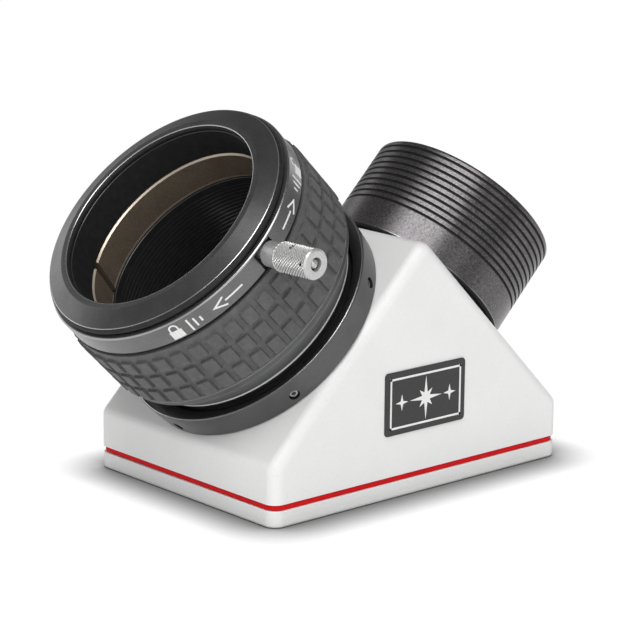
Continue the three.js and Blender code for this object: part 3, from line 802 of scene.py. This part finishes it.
def build_base():
    low, high = (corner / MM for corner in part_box("base_plate"))
    corners = rectangle(2 * high.x, 2 * high.y)
    plate = slab(
        "base_plate_fine",
        UPRIGHT,
        lambda inset: rounded_loop(corners, EDGE_RADIUS, inset),
        low.z,
        high.z,
        BASE_SOFT_EDGE,
        BASE_TOP_EDGE,
        [WHITE],
    )
    sinks = []
    for i, spot in enumerate(screw_spots):
        flare = (COUNTERSINK_RADIUS - BOSS_HOLE) / COUNTERSINK_DEPTH
        profile = [
            (0, -OVERRUN, 0),
            (COUNTERSINK_RADIUS + flare, -OVERRUN, 0),
            (BOSS_HOLE, COUNTERSINK_DEPTH, 0),
            (BOSS_HOLE, high.z + OVERRUN, 0),
            (0, high.z + OVERRUN, 0),
        ]
        sinks.append(turned(f"sink_{i}", spot, profile, [WHITE], even_angles(SMALL_ROUND)))
    return cut(plate, sinks)


def build_seal():
    """The seal, rounded at both edges; along the clamp's end its lower edge has drawn back."""
    low, high = (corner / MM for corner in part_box("red_seal"))
    outer = rectangle(2 * high.x, 2 * high.y)
    inner = rectangle(*SEAL_OPENING)

    def level(corners, inset, z):
        return at_height(rounded_loop(corners, EDGE_RADIUS, inset), z)

    def drawn_back(inset, x, y, z):
        on_end = min(1, max(0, (low.x + EDGE_RADIUS - x) / EDGE_RADIUS))
        along = (y - low.y) / (high.y - low.y)
        depth = SEAL_UNDERCUT_AT_FRONT + (SEAL_UNDERCUT - SEAL_UNDERCUT_AT_FRONT) * along
        return x + on_end * depth * inset / SEAL_ROUND, y, z

    edge = quarter(SEAL_ROUND, 4)
    loops = []
    for inset, depth in edge:
        loops.append([drawn_back(inset, *point) for point in level(outer, inset, low.z + depth)])
    loops += [level(outer, inset, high.z - depth) for inset, depth in reversed(edge)]
    loops += [level(inner, 0, z) for z in (high.z, low.z)]
    ring = loft("red_seal_fine", UPRIGHT, loops, [RED], ring=True)
    return cut(ring, at_screws("seal_hole", BOSS_HOLE, high.z + OVERRUN, RED))


stand_for(build_base(), "base_plate")
stand_for(build_seal(), "red_seal")


def build_mirror():
    """A chamfered slab of glass, coated on its top face."""
    low, high = (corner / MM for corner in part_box("mirror"))
    points = [v.co / MM for v in frame["nodes"]["mirror"].data.vertices if v.co.z / MM > high.z - NEAR]
    corners = sorted({(round(p.x, 3), round(p.y, 3)) for p in points}, key=lambda p: atan2(p[1], p[0]))
    chamfer = MIRROR_CHAMFER
    levels = [(chamfer, low.z), (0, low.z + chamfer), (0, high.z - chamfer), (chamfer, high.z)]
    loops = [at_height(rounded_loop(corners, MIRROR_CORNER, inset, 2), z) for inset, z in levels]
    glass = loft("mirror_fine", UPRIGHT, loops, [GLASS, MIRROR])
    for face in glass.data.polygons:
        if face.normal.z > 0.99:
            face.material_index = 1
    return glass


stand_for(build_mirror(), "mirror")


def hexagon(radius):
    """A relief that turns the rows at this radius into a hexagon of that inner radius."""

    def relief(angle, r, height):
        if r > radius + NEAR:
            return r
        return r / cos((angle % (pi / 3)) - pi / 6)

    return relief


def make_disc(node, spot, edge, material):
    """A plain round piece on its own axis, with rounded edges."""
    _, radius, low, high = reach(node, spot)
    rows = soften([(0, low), (radius, low), (radius, high), (0, high)], edge)
    stand_for(turned(f"{node}_fine", spot, rows, [material], even_angles(SMALL_ROUND)), node)


def make_screw(node, spot, outline, edge, radius, thread_heights, thread_share, socket):
    """A threaded screw with a hexagon socket."""
    threads = grooves(radius, thread_heights, THREAD_PITCH * thread_share, THREAD_DEPTH)
    rows = on_wall(soften(outline, edge, steps=2), radius, threads)
    angles = even_angles(SMALL_ROUND)
    stand_for(turned(f"{node}_fine", spot, rows, [STEEL], angles, hexagon(socket)), node)


for node in sorted(n for n in frame["nodes"] if n.startswith("mirror_pad")):
    make_disc(node, parallel_spot(node, UPRIGHT), PAD_EDGE, RUBBER)

for node, spot in zip(base_screws, screw_spots):
    _, head, low, high = reach(node, spot)
    shaft = min(hypot(p.x, p.y) for p in points_of(node, spot) if p.z > high - CLOSE)
    shaft = max(shaft, LEAST_SHAFT)
    outline = [
        (0, low + HEX_DEPTH),
        (HEX_SOCKET, low + HEX_DEPTH),
        (HEX_SOCKET, low),
        (head, low),
        (head, low + HEAD_EDGE),
        (shaft, low + HEAD_EDGE + head - shaft),
        (shaft, high - SHAFT_CHAMFER),
        (shaft - SHAFT_CHAMFER, high),
        (0, high),
    ]
    heights = steps_between(low + THREAD_START, high - THREAD_MARGIN, THREAD_PITCH)
    make_screw(node, spot, outline, 0.06, shaft, heights, 0.9, HEX_SOCKET)

# ---- Badge ----


def flat_ring(name, spot, outer, inner, bottom, top, material):
    """A thin frame between two loops."""
    corners = ((outer, bottom), (outer, top), (inner, top), (inner, bottom))
    return loft(name, spot, [at_height(loop, z) for loop, z in corners], [material], ring=True)


def star_outline(points, long, short, waist):
    """A star with long and short rays by turns."""
    outline = []
    for i in range(2 * points):
        ray = (long, short)[i // 2 % 2] if i % 2 == 0 else waist
        angle = pi * i / points
        outline.append((ray * sin(angle), ray * cos(angle)))
    return outline[::-1]


def build_badge():
    low, high = (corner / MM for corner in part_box("badge_plate"))
    face = spot_at((0, low.y * MM, (low.z + high.z) / 2 * MM), FORWARD, (1, 0, 0))
    corners = rectangle(high.x - low.x, high.z - low.z)

    def loop_at(inset):
        return rounded_loop(corners, BADGE_CORNER, inset)

    plate = slab("badge_plate_fine", face, loop_at, low.y - high.y, 0, *BADGE_EDGES, [BADGE])
    stand_for(plate, "badge_plate")
    layer = (-PRINT_DEPTH, PRINT_THICKNESS, PRINT)
    insets = (BADGE_FRAME_INSET, BADGE_FRAME_INSET + BADGE_FRAME_WIDTH)
    loops = [rounded_loop(corners, BADGE_CORNER + 0.2, inset) for inset in insets]
    add_trim(flat_ring("badge_frame", face, *loops, *layer), "badge_plate")
    add_trim(prism("badge_star", face, star_outline(*BADGE_STAR), *layer), "badge_plate")
    for i, side in enumerate((-1, 1)):
        small = [(x + side * BADGE_STAR_SPACING, y) for x, y in star_outline(*BADGE_SMALL_STAR)]
        add_trim(prism(f"badge_small_star_{i + 1}", face, small, *layer), "badge_plate")


build_badge()

# ---- Nosepiece ----

adapter = soften(section("nosepiece_adapter", NOSE), 0.15)
stand_for(turned("nosepiece_adapter_fine", NOSE, adapter, [NOSE_BLACK]), "nosepiece_adapter")


def build_nosepiece():
    bore, barrel, low, rim = reach("nosepiece", NOSE)
    outline = section("nosepiece", NOSE)
    thread_radius = min(p.x for p in outline if p.y > rim - CLOSE)
    thread_floor = max(p.y for p in outline if p.x < bore + NEAR)

    def corner_size(corner):
        return RIM_ROUND if corner[1] > rim - 1 and corner[0] > thread_radius + CLOSE else 0.12

    top = rim - GROOVE_TOP_MARGIN
    ring_heights = [top - i * GROOVE_PITCH for i in range(GROOVE_COUNT)]
    # The grooves' floors are painted matte black as the shade in them.
    ringed = grooves(barrel, ring_heights, GROOVE_WIDTH, GROOVE_DEPTH, slot=2)

    # A thin strip just above the neck is painted lighter as a highlight line.
    def highlight_line_and_shaded_grooves(start, end):
        return [(barrel, NECK_TOP, 1), (barrel, NECK_TOP + NECK_LINE, 0), *ringed(start, end)]

    rows = on_wall(soften(outline, corner_size), barrel, highlight_line_and_shaded_grooves)
    # Below the neck's top the barrel is painted matte black as the shade in its gap to the housing.
    rows = [(r, h, 2 if h < NECK_TOP else slot) for r, h, slot in rows]
    filter_heights = steps_between(thread_floor, rim, FILTER_PITCH)
    threads = grooves(thread_radius, filter_heights, FILTER_PITCH * 0.9, -FILTER_DEPTH)
    rows = on_wall(rows, thread_radius, threads)
    baffles = steps_between(low, thread_floor, BAFFLE_PITCH)
    rows = on_wall(rows, bore, grooves(bore, baffles, BAFFLE_PITCH * 0.8, -BAFFLE_DEPTH))
    return turned("nosepiece_fine", NOSE, rows, [NOSE_SPECKLED, NOSE_LINE_HIGHLIGHT, BLACK_AND_PAINTED_SHADE])


stand_for(build_nosepiece(), "nosepiece")

# ---- Clamp flange and its grub screws ----

grub_screws = sorted(node for node in frame["nodes"] if node.startswith("flange_grub_screw"))
grub_spots = [radial_spot(node, CLAMP) for node in grub_screws]


def build_flange():
    bore, wall, _, top = reach("clamp_flange", CLAMP)

    def is_rim(corner):
        return corner[1] > top - CLOSE and corner[0] > wall - 0.5

    # The rim is a bare edge, also painted bright as a highlight line.
    rows = soften(section("clamp_flange", CLAMP), 0.15, is_rim)
    flange = turned("clamp_flange_fine", CLAMP, rows, [CLAMP_BLACK, BARE_EDGE_AND_HIGHLIGHT, BLACK_AND_PAINTED_SHADE])
    holes = []
    for i, spot in enumerate(grub_spots):
        holes.append(rod(f"grub_hole_{i}", spot, GRUB_HOLE, bore + OVERRUN, wall + OVERRUN, BLACK_AND_PAINTED_SHADE))
    return cut(flange, holes)


stand_for(build_flange(), "clamp_flange")

for node, spot in zip(grub_screws, grub_spots):
    _, radius, low, high = reach(node, spot)
    socket_floor = high - HEX_DEPTH
    outline = [(0, low), (radius, low), (radius, high), (GRUB_HEX, high)]
    outline += [(GRUB_HEX, socket_floor), (0, socket_floor)]
    heights = steps_between(low, high, THREAD_PITCH)
    make_screw(node, spot, outline, 0.08, radius, heights, 0.8, GRUB_HEX)

# ---- Clamp body, brass ring and rollers ----

rollers = sorted(node for node in frame["nodes"] if node.startswith("clamp_roller"))


def turned_spot(spot, angle):
    return spot @ Matrix.Rotation(angle, 4, "Z")


def angle_of(node, spot):
    middle = middle_of(node, spot)
    return atan2(middle.y, middle.x)


def radial_strip(start, end, half):
    """The outline of a strip that runs out along X, as far as half to each side."""
    return [(start, -half), (end, -half), (end, half), (start, half)]


def roller_span(node):
    """The heights between which a roller has room."""
    _, _, low, high = reach(node, CLAMP)
    return low - WINDOW_OVER, high + WINDOW_OVER


def build_clamp_body():
    """The cone, painted lighter as painted light, with its land painted pale as a highlight line; the ribbed bore;
    and a window through the sleeve for each roller.
    """
    low, top = reach("clamp_body", CLAMP)[2:]
    outline = section("clamp_body", CLAMP)
    bore = min(p.x for p in outline if p.y > top - CLOSE)
    widest = max(range(len(outline)), key=lambda i: (outline[i].x, -outline[i].y))
    cone_bottom = outline[widest - 1]
    cone_top = outline[widest]
    land = cone_bottom.x + CONE_LAND_PROUD
    land_top = cone_bottom.y + CONE_LAND_HEIGHT
    outline[widest - 1:widest] = [Vector((land, cone_bottom.y)), Vector((land, land_top))]

    # Slot 1 paints the land pale as a highlight line, and slot 3 paints the cone lighter as painted light.
    def slot_at(radius, height):
        if radius < bore + NEAR:
            return 2
        on_cone = radius > land - CONE_REACH
        if on_cone and height < land_top - 0.05:
            return 1
        return 3 if on_cone and height < cone_top.y else 0

    rows = [(r, h, slot_at(r, h)) for r, h, _ in soften(outline, 0.2)]
    _, brass_outer, brass_bottom, _ = reach("brass_clamp_ring", CLAMP)
    rib_heights = steps_between(low, brass_bottom - 1, RIB_PITCH)
    ribs = grooves(bore, rib_heights, RIB_PITCH * 0.8, -RIB_DEPTH, slot=2)
    finishes = [CLAMP_BLACK, LAND_HIGHLIGHT, BLACK_AND_PAINTED_SHADE, CONE_PAINTED_LIGHT]
    body = turned("clamp_body_fine", CLAMP, on_wall(rows, bore, ribs), finishes)
    outline = radial_strip(brass_outer, WINDOW_REACH, WINDOW_HALF)
    windows = []
    for node in rollers:
        spot = turned_spot(CLAMP, angle_of(node, CLAMP))
        windows.append(prism(f"window_{node}", spot, outline, *roller_span(node), BLACK_AND_PAINTED_SHADE))
    return cut(body, windows)


stand_for(build_clamp_body(), "clamp_body")


def build_brass_ring():
    """The ring swept from one side of its slanted slot round to the other."""
    inner, outer, low, high = reach("brass_clamp_ring", CLAMP)
    middle = (low + high) / 2
    outline = [
        (inner, low + BRASS_LIP_HEIGHT),
        (inner + BRASS_LIP_DEPTH, low),
        (outer - BRASS_CHAMFER, low),
        (outer, low + BRASS_CHAMFER),
        (outer, high - BRASS_CHAMFER),
        (outer - BRASS_CHAMFER, high),
        (inner + BRASS_CHAMFER, high),
        (inner, high - BRASS_CHAMFER),
    ]
    verts = []
    for j in range(ROUND + 1):
        for radius, height in outline:
            centre = SLOT_ANGLE - (height - middle) * tan(SLOT_LEAN) / radius
            half = SLOT_HALF / cos(SLOT_LEAN) / radius
            angle = centre + half + (2 * pi - 2 * half) * j / ROUND
            verts.append((radius * cos(angle), radius * sin(angle), height))
    count = len(outline)
    faces = []
    for j in range(ROUND):
        for i in range(count):
            k = (i + 1) % count
            faces.append((j * count + i, (j + 1) * count + i, (j + 1) * count + k, j * count + k))
    faces.append(tuple(range(count)))
    faces.append(tuple(reversed(range(ROUND * count, (ROUND + 1) * count))))
    # The lip's chamfer and the inner top chamfer are painted pale brass as highlight lines.
    slots = [int(i in (0, 6)) for i in range(count)] * ROUND + [0, 0]
    return smooth(new_piece("brass_clamp_ring_fine", CLAMP, verts, faces, [BRASS, BRASS_HIGHLIGHT], slots))


stand_for(build_brass_ring(), "brass_clamp_ring")

for node in rollers:
    make_disc(node, parallel_spot(node, CLAMP), ROLLER_EDGE, STEEL)

# ---- Grip ring ----

GRIP_BORE = reach("grip_ring", CLAMP)[0]
BAND_OUTLINE = section("grip_ring", CLAMP)
BAND_RADIUS = max(p.x for p in BAND_OUTLINE)
BAND_BOTTOM = min(p.y for p in BAND_OUTLINE if p.x > BAND_RADIUS - NEAR)
BAND_TOP = max(p.y for p in BAND_OUTLINE if p.x > BAND_RADIUS - NEAR)
LEVER_SPOT = radial_spot("lever_pin", CLAMP)


def cam_pocket(node):
    """The cutter whose outer wall spirals in by the rollers' travel as the ring turns to lock."""
    rest = angle_of(node, CLAMP)
    orbit = hypot(*middle_of(node, CLAMP).xy)
    roller_radius = reach(node, parallel_spot(node, CLAMP))[1]
    floor = []
    wall = []
    for i in range(POCKET_STEPS + 1):
        turn = -POCKET_MARGIN + (LOCK_ANGLE + 2 * POCKET_MARGIN) * i / POCKET_STEPS
        share = min(1, max(0, turn / LOCK_ANGLE))
        radius = orbit + roller_radius + POCKET_GAP - share * ROLLER_TRAVEL
        out = Vector((cos(rest + turn), sin(rest + turn)))
        floor.append(out * (GRIP_BORE - OVERRUN))
        wall.append(out * radius)
    return prism(f"pocket_{node}", CLAMP, wall + floor[::-1], *roller_span(node), BLACK_AND_PAINTED_SHADE)


def build_grip_ring():
    """The ring under the rubber, with its cams inside, and the band with a notch round the lever."""

    # The band's top chamfer is painted lighter as a highlight line.
    def on_highlight_chamfer(radius, height):
        return radius > BAND_RADIUS - BAND_CHAMFER and height > BAND_TOP - CLOSE

    rows = [(r, h, int(on_highlight_chamfer(r, h))) for r, h, _ in soften(BAND_OUTLINE, 0.1)]
    ring = turned("grip_ring_fine", CLAMP, rows, [BAND_BLACK, BAND_HIGHLIGHT, BLACK_AND_PAINTED_SHADE])
    outline = radial_strip(NOTCH_FLOOR, BAND_RADIUS + OVERRUN, NOTCH_HALF)
    notch = prism("notch", CLAMP, outline, BAND_BOTTOM - OVERRUN, NOTCH_TOP, BLACK_AND_PAINTED_SHADE)
    socket = rod("lever_socket", LEVER_SPOT, LEVER_SOCKET, GRIP_BORE - OVERRUN, BAND_RADIUS, BLACK_AND_PAINTED_SHADE)
    return cut(ring, [*(cam_pocket(node) for node in rollers), notch, socket])


stand_for(build_grip_ring(), "grip_ring")

for node in ("glide_ring_rear", "glide_ring_front"):
    rows = soften(section(node, CLAMP), 0.1)
    stand_for(turned(f"{node}_fine", CLAMP, rows, [PLASTIC]), node)

# ---- Rubber grip ----


def raised(distance, half):
    """1 on a pad, 0 in the groove beside it, and a soft slope over the pad's wall."""
    t = min(1, max(0, (half + PAD_WALL / 2 - abs(distance)) / PAD_WALL))
    return t * t * (3 - 2 * t)


def pad_stops(half, pitch):
    """Distances from a pad's middle at which its relief needs points."""
    wall = [half + PAD_WALL * share for share in (-0.75, -0.5, -0.3, -0.1, 0.1, 0.3, 0.5)]
    outside = (wall[-1] + pitch / 2) / 2
    side = [half / 2, *wall, outside]
    return [-s for s in reversed(side)] + [0] + side


def build_rubber():
    """The sleeve with its pads, and a lip below them whose corner is painted pale as a highlight."""
    inner, outer, low, high = reach("rubber_grip", CLAMP)
    sleeve = outer - PAD_RELIEF
    column = 2 * pi / PAD_COLUMNS
    row_heights = [PAD_TOP_ROW - i * PAD_PITCH for i in range(PAD_ROWS)]
    stops = pad_stops(PAD_WIDTH / 2, column * outer)
    angles = [PAD_FIRST_ANGLE + i * column + s / outer for i in range(PAD_COLUMNS) for s in stops]

    def redraw(start, end):
        heights = [h + s for h in reversed(row_heights) for s in pad_stops(PAD_HEIGHT / 2, PAD_PITCH)]
        return [(sleeve, h) for h in heights if start + 0.02 < h < end - 0.02]

    def relief(angle, radius, height):
        if radius < sleeve - 0.001:
            return radius
        pad = round((angle - PAD_FIRST_ANGLE) / column)
        across = raised((angle - PAD_FIRST_ANGLE - pad * column) * outer, PAD_WIDTH / 2)
        along = max(raised(height - h, PAD_HEIGHT / 2) for h in row_heights)
        return radius + PAD_RELIEF * across * along

    lip = sleeve + LIP_PROUD
    lip_low = low - LIP_DROP
    outline = [
        (inner, lip_low),
        (lip, lip_low),
        (lip, low + LIP_HEIGHT),
        (sleeve, low + LIP_HEIGHT + LIP_PROUD / 2),
        (sleeve, high),
        (inner, high),
    ]
    # The lip's lower corner is painted pale as a highlight line.
    rows = soften(outline, 0.2, lambda corner: corner == (lip, lip_low))
    rows = on_wall(rows, sleeve, redraw)
    return turned("rubber_grip_fine", CLAMP, rows, [RUBBER, RUBBER_LIP_HIGHLIGHT], angles, relief)


stand_for(build_rubber(), "rubber_grip")

# ---- Lever ----


def build_lever():
    """A knurled pin on a neck, with a rivet in a hole at its end and two nicks in the knurl; the gap round the
    rivet and the nicks' walls are painted black as shade.
    """
    _, radius, stud_start, end = reach("lever_pin", LEVER_SPOT)
    shoulder = LEVER_NECK_END + radius - LEVER_NECK
    outline = [
        (0, stud_start),
        (LEVER_STUD, stud_start),
        (LEVER_STUD, LEVER_NECK_START),
        (LEVER_NECK, LEVER_NECK_START),
        (LEVER_NECK, LEVER_NECK_END),
        (radius, shoulder),
        (radius, end - LEVER_CHAMFER),
        (radius - LEVER_CHAMFER, end),
        (LEVER_HOLE, end),
        (LEVER_HOLE, end - LEVER_HOLE_DEPTH),
        (LEVER_RIVET, end - LEVER_HOLE_DEPTH),
        (LEVER_RIVET, end - LEVER_RIVET_DROP),
        (0, end - LEVER_RIVET_TOP),
    ]
    pitch = 2 * pi * radius / KNURL_COUNT

    def ridge(turns):
        return abs(2 * (turns % 1) - 1)

    def knurl(angle, r, height):
        if r < radius - 0.001:
            return r
        fade = min(1, (height - shoulder) / KNURL_FADE, (end - LEVER_CHAMFER - height) / KNURL_FADE)
        round_turns = angle * KNURL_COUNT / (2 * pi)
        lowest = min(ridge(round_turns + height / pitch), ridge(round_turns - height / pitch))
        return r - KNURL_DEPTH * max(0, fade) * (1 - min(1, lowest * KNURL_SLOPE))

    def dense(start, finish):
        count = round((finish - start) / (pitch / KNURL_STEPS))
        return [(radius, start + (finish - start) * i / count) for i in range(1, count)]

    def corner_size(corner):
        if corner[0] == LEVER_NECK:
            return LEVER_NECK_ROUND
        return LEVER_RIVET_ROUND if corner == (LEVER_RIVET, end - LEVER_RIVET_DROP) else 0.12

    # The hole's floor and the rivet's side are painted black as the shade in the gap.
    def in_painted_shade_gap(r, height):
        beside_rivet = LEVER_RIVET - NEAR < r < LEVER_HOLE - 2 * NEAR
        return beside_rivet and end - LEVER_HOLE_DEPTH - CLOSE < height < end - 2 * CLOSE

    rows = [(r, h, int(in_painted_shade_gap(r, h))) for r, h, _ in soften(outline, corner_size)]
    rows = on_wall(rows, radius, dense)
    angles = even_angles(KNURL_COUNT * KNURL_STEPS)
    lever = turned("lever_pin_fine", LEVER_SPOT, rows, [ALUMINIUM, BLACK_AND_PAINTED_SHADE], angles, knurl)
    nicks = []
    # The nicks' cut walls take the matte black, painted as shade.
    for i, (turn, height, length) in enumerate(NICKS):
        spot = turned_spot(LEVER_SPOT, radians(turn)) @ Matrix.Translation((radius, 0, height))
        outline = radial_strip(-NICK_DEPTH, OVERRUN, length / 2)
        nicks.append(prism(f"nick_{i}", spot, outline, -NICK_HEIGHT / 2, NICK_HEIGHT / 2, BLACK_AND_PAINTED_SHADE))
    return cut(lever, nicks)


stand_for(build_lever(), "lever_pin")

# ---- Front ring ----


def build_front_ring():
    """The ring with the wide face, black in its mouth, its wall under the bevel painted black as shade, and its
    edges bare and painted bright as highlight lines.
    """
    _, outer, _, high = reach("front_ring", CLAMP)
    outline = section("front_ring", CLAMP)
    bevel_top = min(p.y for p in outline if outer - 1 < p.x < outer - 0.1)
    mouth = min(p.x for p in outline if p.y > high - 0.05)

    def is_face_edge(corner):
        return corner[0] > outer - 1 and abs(corner[1] - bevel_top) < 0.01

    def is_highlight_edge(corner):
        return is_face_edge(corner) or (abs(corner[0] - mouth) < 0.01 and corner[1] > high - 0.1)

    rows = []
    # The wall under the bevel is painted black as shade; the face's outer edge and the mouth's edge are painted
    # bright as highlight lines.
    for radius, height, slot in soften(outline, 0.17, is_highlight_edge):
        outside = radius > outer - 0.45 and height < bevel_top - 0.1
        in_mouth = radius < mouth - 0.05
        rows.append((radius, height, 2 if outside or in_mouth else slot))
    return turned("front_ring_fine", CLAMP, rows, [FACE_BLACK, BARE_EDGE_AND_HIGHLIGHT, BLACK_AND_PAINTED_SHADE])


stand_for(build_front_ring(), "front_ring")

# ---- Marks on the band ----


def on_band(x, y, lift):
    """A point of the band's drawing, x round it and y along its axis in millimetres, lifted off it."""
    angle = x / BAND_RADIUS
    radius = BAND_RADIUS + lift
    return radius * cos(angle), radius * sin(angle), y


def ribbon(path, width):
    """(left, right) edges of a stroke along a path, with mitred corners."""
    runs = [(b - a).normalized() for a, b in zip(path, path[1:])]
    edges = []
    for point, first, second in zip(path, runs[:1] + runs, runs + runs[-1:]):
        run = (first + second).normalized()
        across = Vector((-run.y, run.x)) * (width / 2 / max(0.3, run.dot(first)))
        edges.append((point + across, point - across))
    return edges


def fine(path):
    """A path with points no further apart than one step, so that it follows the band."""
    path = [Vector(p) for p in path]
    made = []
    for a, b in zip(path, path[1:]):
        count = max(1, round((b - a).length / MARK_STEP))
        made += [a.lerp(b, k / count) for k in range(count)]
    return made + path[-1:]


def stroke(verts, faces, path, width=MARK_STROKE):
    """Adds a thin closed solid along a path on the band."""
    start = len(verts)
    edges = ribbon(fine(path), width)
    for left, right in edges:
        for edge, lift in ((left, MARK_SUNK), (right, MARK_SUNK), (right, MARK_RAISED), (left, MARK_RAISED)):
            verts.append(on_band(*edge, lift))
    last = len(verts) - 4
    for a in range(start, last, 4):
        faces += [(a + k, a + 4 + k, a + 4 + (k + 1) % 4, a + (k + 1) % 4) for k in range(4)]
    faces += [(start, start + 1, start + 2, start + 3), (last + 3, last + 2, last + 1, last)]


def arc(x, y, radius, start, end, steps=12):
    turns = [radians(start + (end - start) * i / steps) for i in range(steps + 1)]
    return [(x + radius * cos(a), y + radius * sin(a)) for a in turns]


def arrow(verts, faces, x, y, way):
    """A dash with an open arrowhead after it, pointing along x by way."""
    dash, head, half = 5.2, 3.0, 1.3
    stroke(verts, faces, [(x, y), (x + way * dash, y)])
    tip = x + way * (dash + head)
    stroke(verts, faces, [(tip - way * head, y + half), (tip, y), (tip - way * head, y - half)])


def padlock(verts, faces, x, y, is_open):
    """A padlock with its shackle up, shut or swung open, upright when the clamp points up."""
    top = y - 0.1
    for row in range(PADLOCK_ROWS):
        height = top - 0.2 - row * PADLOCK_ROW_STEP
        stroke(verts, faces, [(x - PADLOCK_HALF, height), (x + PADLOCK_HALF, height)], PADLOCK_STROKE)
    middle = x + (SHACKLE_SHIFT if is_open else 0.0)
    left, right = middle - SHACKLE_RADIUS, middle + SHACKLE_RADIUS
    bow = arc(middle, top + SHACKLE_RISE, SHACKLE_RADIUS, 180, 0)
    path = [(left, top), (left, top + SHACKLE_LEG), *bow, (right, top + SHACKLE_LEG)]
    if not is_open:
        path.append((right, top))
    stroke(verts, faces, path, PADLOCK_STROKE)


def tally(verts, faces, x, y, way):
    """Three bars that grow along x by way."""
    for i in range(3):
        half = 0.75 + 0.55 * i
        place = x + way * 1.5 * i
        stroke(verts, faces, [(place, y - half), (place, y + half)])


def build_marks():
    verts = []
    faces = []
    arrow(verts, faces, -9.0, MARK_HEIGHT, -1)
    arrow(verts, faces, 7.0, MARK_HEIGHT - 0.2, 1)
    tally(verts, faces, -20.9, MARK_HEIGHT, -1)
    padlock(verts, faces, -27.6, MARK_HEIGHT + 0.6, False)
    tally(verts, faces, 18.6, MARK_HEIGHT - 0.2, 1)
    padlock(verts, faces, 25.0, MARK_HEIGHT + 0.5, True)
    marks = new_piece("grip_marks", CLAMP, verts, faces, [PRINT])
    add_trim(marks, "grip_ring")


build_marks()

# ---- Camera, light and floor ----

# In metres here, with directions in degrees
CAMERA_AZIMUTH = -41.676
CAMERA_ELEVATION = 13.333
CAMERA_ROLL = radians(0.531)
CAMERA_DISTANCE = 0.586255
CAMERA_TARGET = Vector((-0.003999, 0, 0.036987))
SENSOR = 36.0
FOCAL_LENGTH = 133.168
WORLD_GREYS = ((0.0, 0.3), (0.2, 0.3), (0.5, 0.15), (1.0, 0.12))
FLOOR_GLOW = 0.97
FLOOR_SHADE_REACH = 0.0128
FLOOR_SHADE_POWER = 2.7
FLOOR_RADIUS_MM = 3000
FLOOR_THICKNESS_MM = 20


def direction(azimuth, elevation):
    """Out from the object: azimuth 0 is the -Y side and 90 the +X side, in degrees."""
    a, e = radians(azimuth), radians(elevation)
    return Vector((sin(a) * cos(e), -cos(a) * cos(e), sin(e)))


def add_camera():
    data = bpy.data.cameras.new("camera")
    data.sensor_width = SENSOR
    data.lens = FOCAL_LENGTH
    data.clip_start = 0.01
    camera = put("camera", data)
    back = direction(CAMERA_AZIMUTH, CAMERA_ELEVATION)
    right = Vector((0, 0, 1)).cross(back).normalized()
    up = back.cross(right)
    x = right * cos(CAMERA_ROLL) + up * sin(CAMERA_ROLL)
    y = up * cos(CAMERA_ROLL) - right * sin(CAMERA_ROLL)
    turn = Matrix((x, y, back)).transposed().to_4x4()
    camera.matrix_world = Matrix.Translation(CAMERA_TARGET + back * CAMERA_DISTANCE) @ turn
    bpy.context.scene.camera = camera


def add_softbox(name, azimuth, elevation, distance, width, height, radiance):
    data = bpy.data.lights.new(name, "AREA")
    data.shape = "RECTANGLE"
    data.size = width
    data.size_y = height
    data.energy = radiance * pi * width * height
    light = put(name, data)
    out = direction(azimuth, elevation)
    light.location = CAMERA_TARGET + out * distance
    light.rotation_mode = "QUATERNION"
    light.rotation_quaternion = out.to_track_quat("Z", "Y")


def add_world():
    """A dim grey studio, dimmer overhead, and plain white where the camera looks past the object."""
    world = bpy.data.worlds.new("studio")
    bpy.context.scene.world = world
    world.use_nodes = True
    tree = world.node_tree
    tree.nodes.clear()
    kinds = ("TexCoord", "SeparateXYZ", "ValToRGB", "Background", "Background")
    kinds += ("LightPath", "MixShader", "OutputWorld")
    nodes = [tree.nodes.new("ShaderNode" + kind) for kind in kinds]
    place, split, ramp, surroundings, backdrop, seen, mix, output = nodes
    for i, (height, value) in enumerate(WORLD_GREYS):
        stop = ramp.color_ramp.elements[i] if i < 2 else ramp.color_ramp.elements.new(height)
        stop.position = height
        stop.color = (value, value, value, 1)
    backdrop.inputs["Color"].default_value = (1, 1, 1, 1)
    tree.links.new(place.outputs["Generated"], split.inputs[0])
    tree.links.new(split.outputs["Z"], ramp.inputs["Fac"])
    tree.links.new(ramp.outputs["Color"], surroundings.inputs["Color"])
    tree.links.new(seen.outputs["Is Camera Ray"], mix.inputs["Fac"])
    tree.links.new(surroundings.outputs[0], mix.inputs[1])
    tree.links.new(backdrop.outputs[0], mix.inputs[2])
    tree.links.new(mix.outputs[0], output.inputs["Surface"])


def add_floor():
    """A floor that glows white, its glow darkened by ambient occlusion into a painted contact shadow where the
    object stands close to it.
    """
    look = Look("pale_floor", (0.06, 0.06, 0.06), 0.9, specular_ior_level=0.05)
    shade = look.node("AmbientOcclusion", Distance=FLOOR_SHADE_REACH)
    depth = look.math("POWER", shade.outputs["AO"], FLOOR_SHADE_POWER)
    look.shader.inputs["Emission Color"].default_value = (1, 1, 1, 1)
    look.feed(look.shader.inputs["Emission Strength"], look.math("MULTIPLY", depth, FLOOR_GLOW))
    low = CAD_BOX[0].z / MM
    rod("floor", UPRIGHT, FLOOR_RADIUS_MM, low - FLOOR_THICKNESS_MM, low, look.material, 64)


add_camera()
add_world()
add_floor()
add_softbox("key", -42, 55, 1.5, 1.2, 0.95, 4.1)
add_softbox("high_left", -84, 66, 1.5, 0.66, 0.3, 2.2)
add_softbox("rim", 103, 8, 1.5, 0.4, 0.5, 1.6)
add_softbox("front", -28, 14, 1.7, 2.4, 0.9, 1.3)
add_softbox("back", -168, 17, 1.6, 1.3, 0.8, 0.85)
bpy.context.scene.view_settings.view_transform = "Standard"
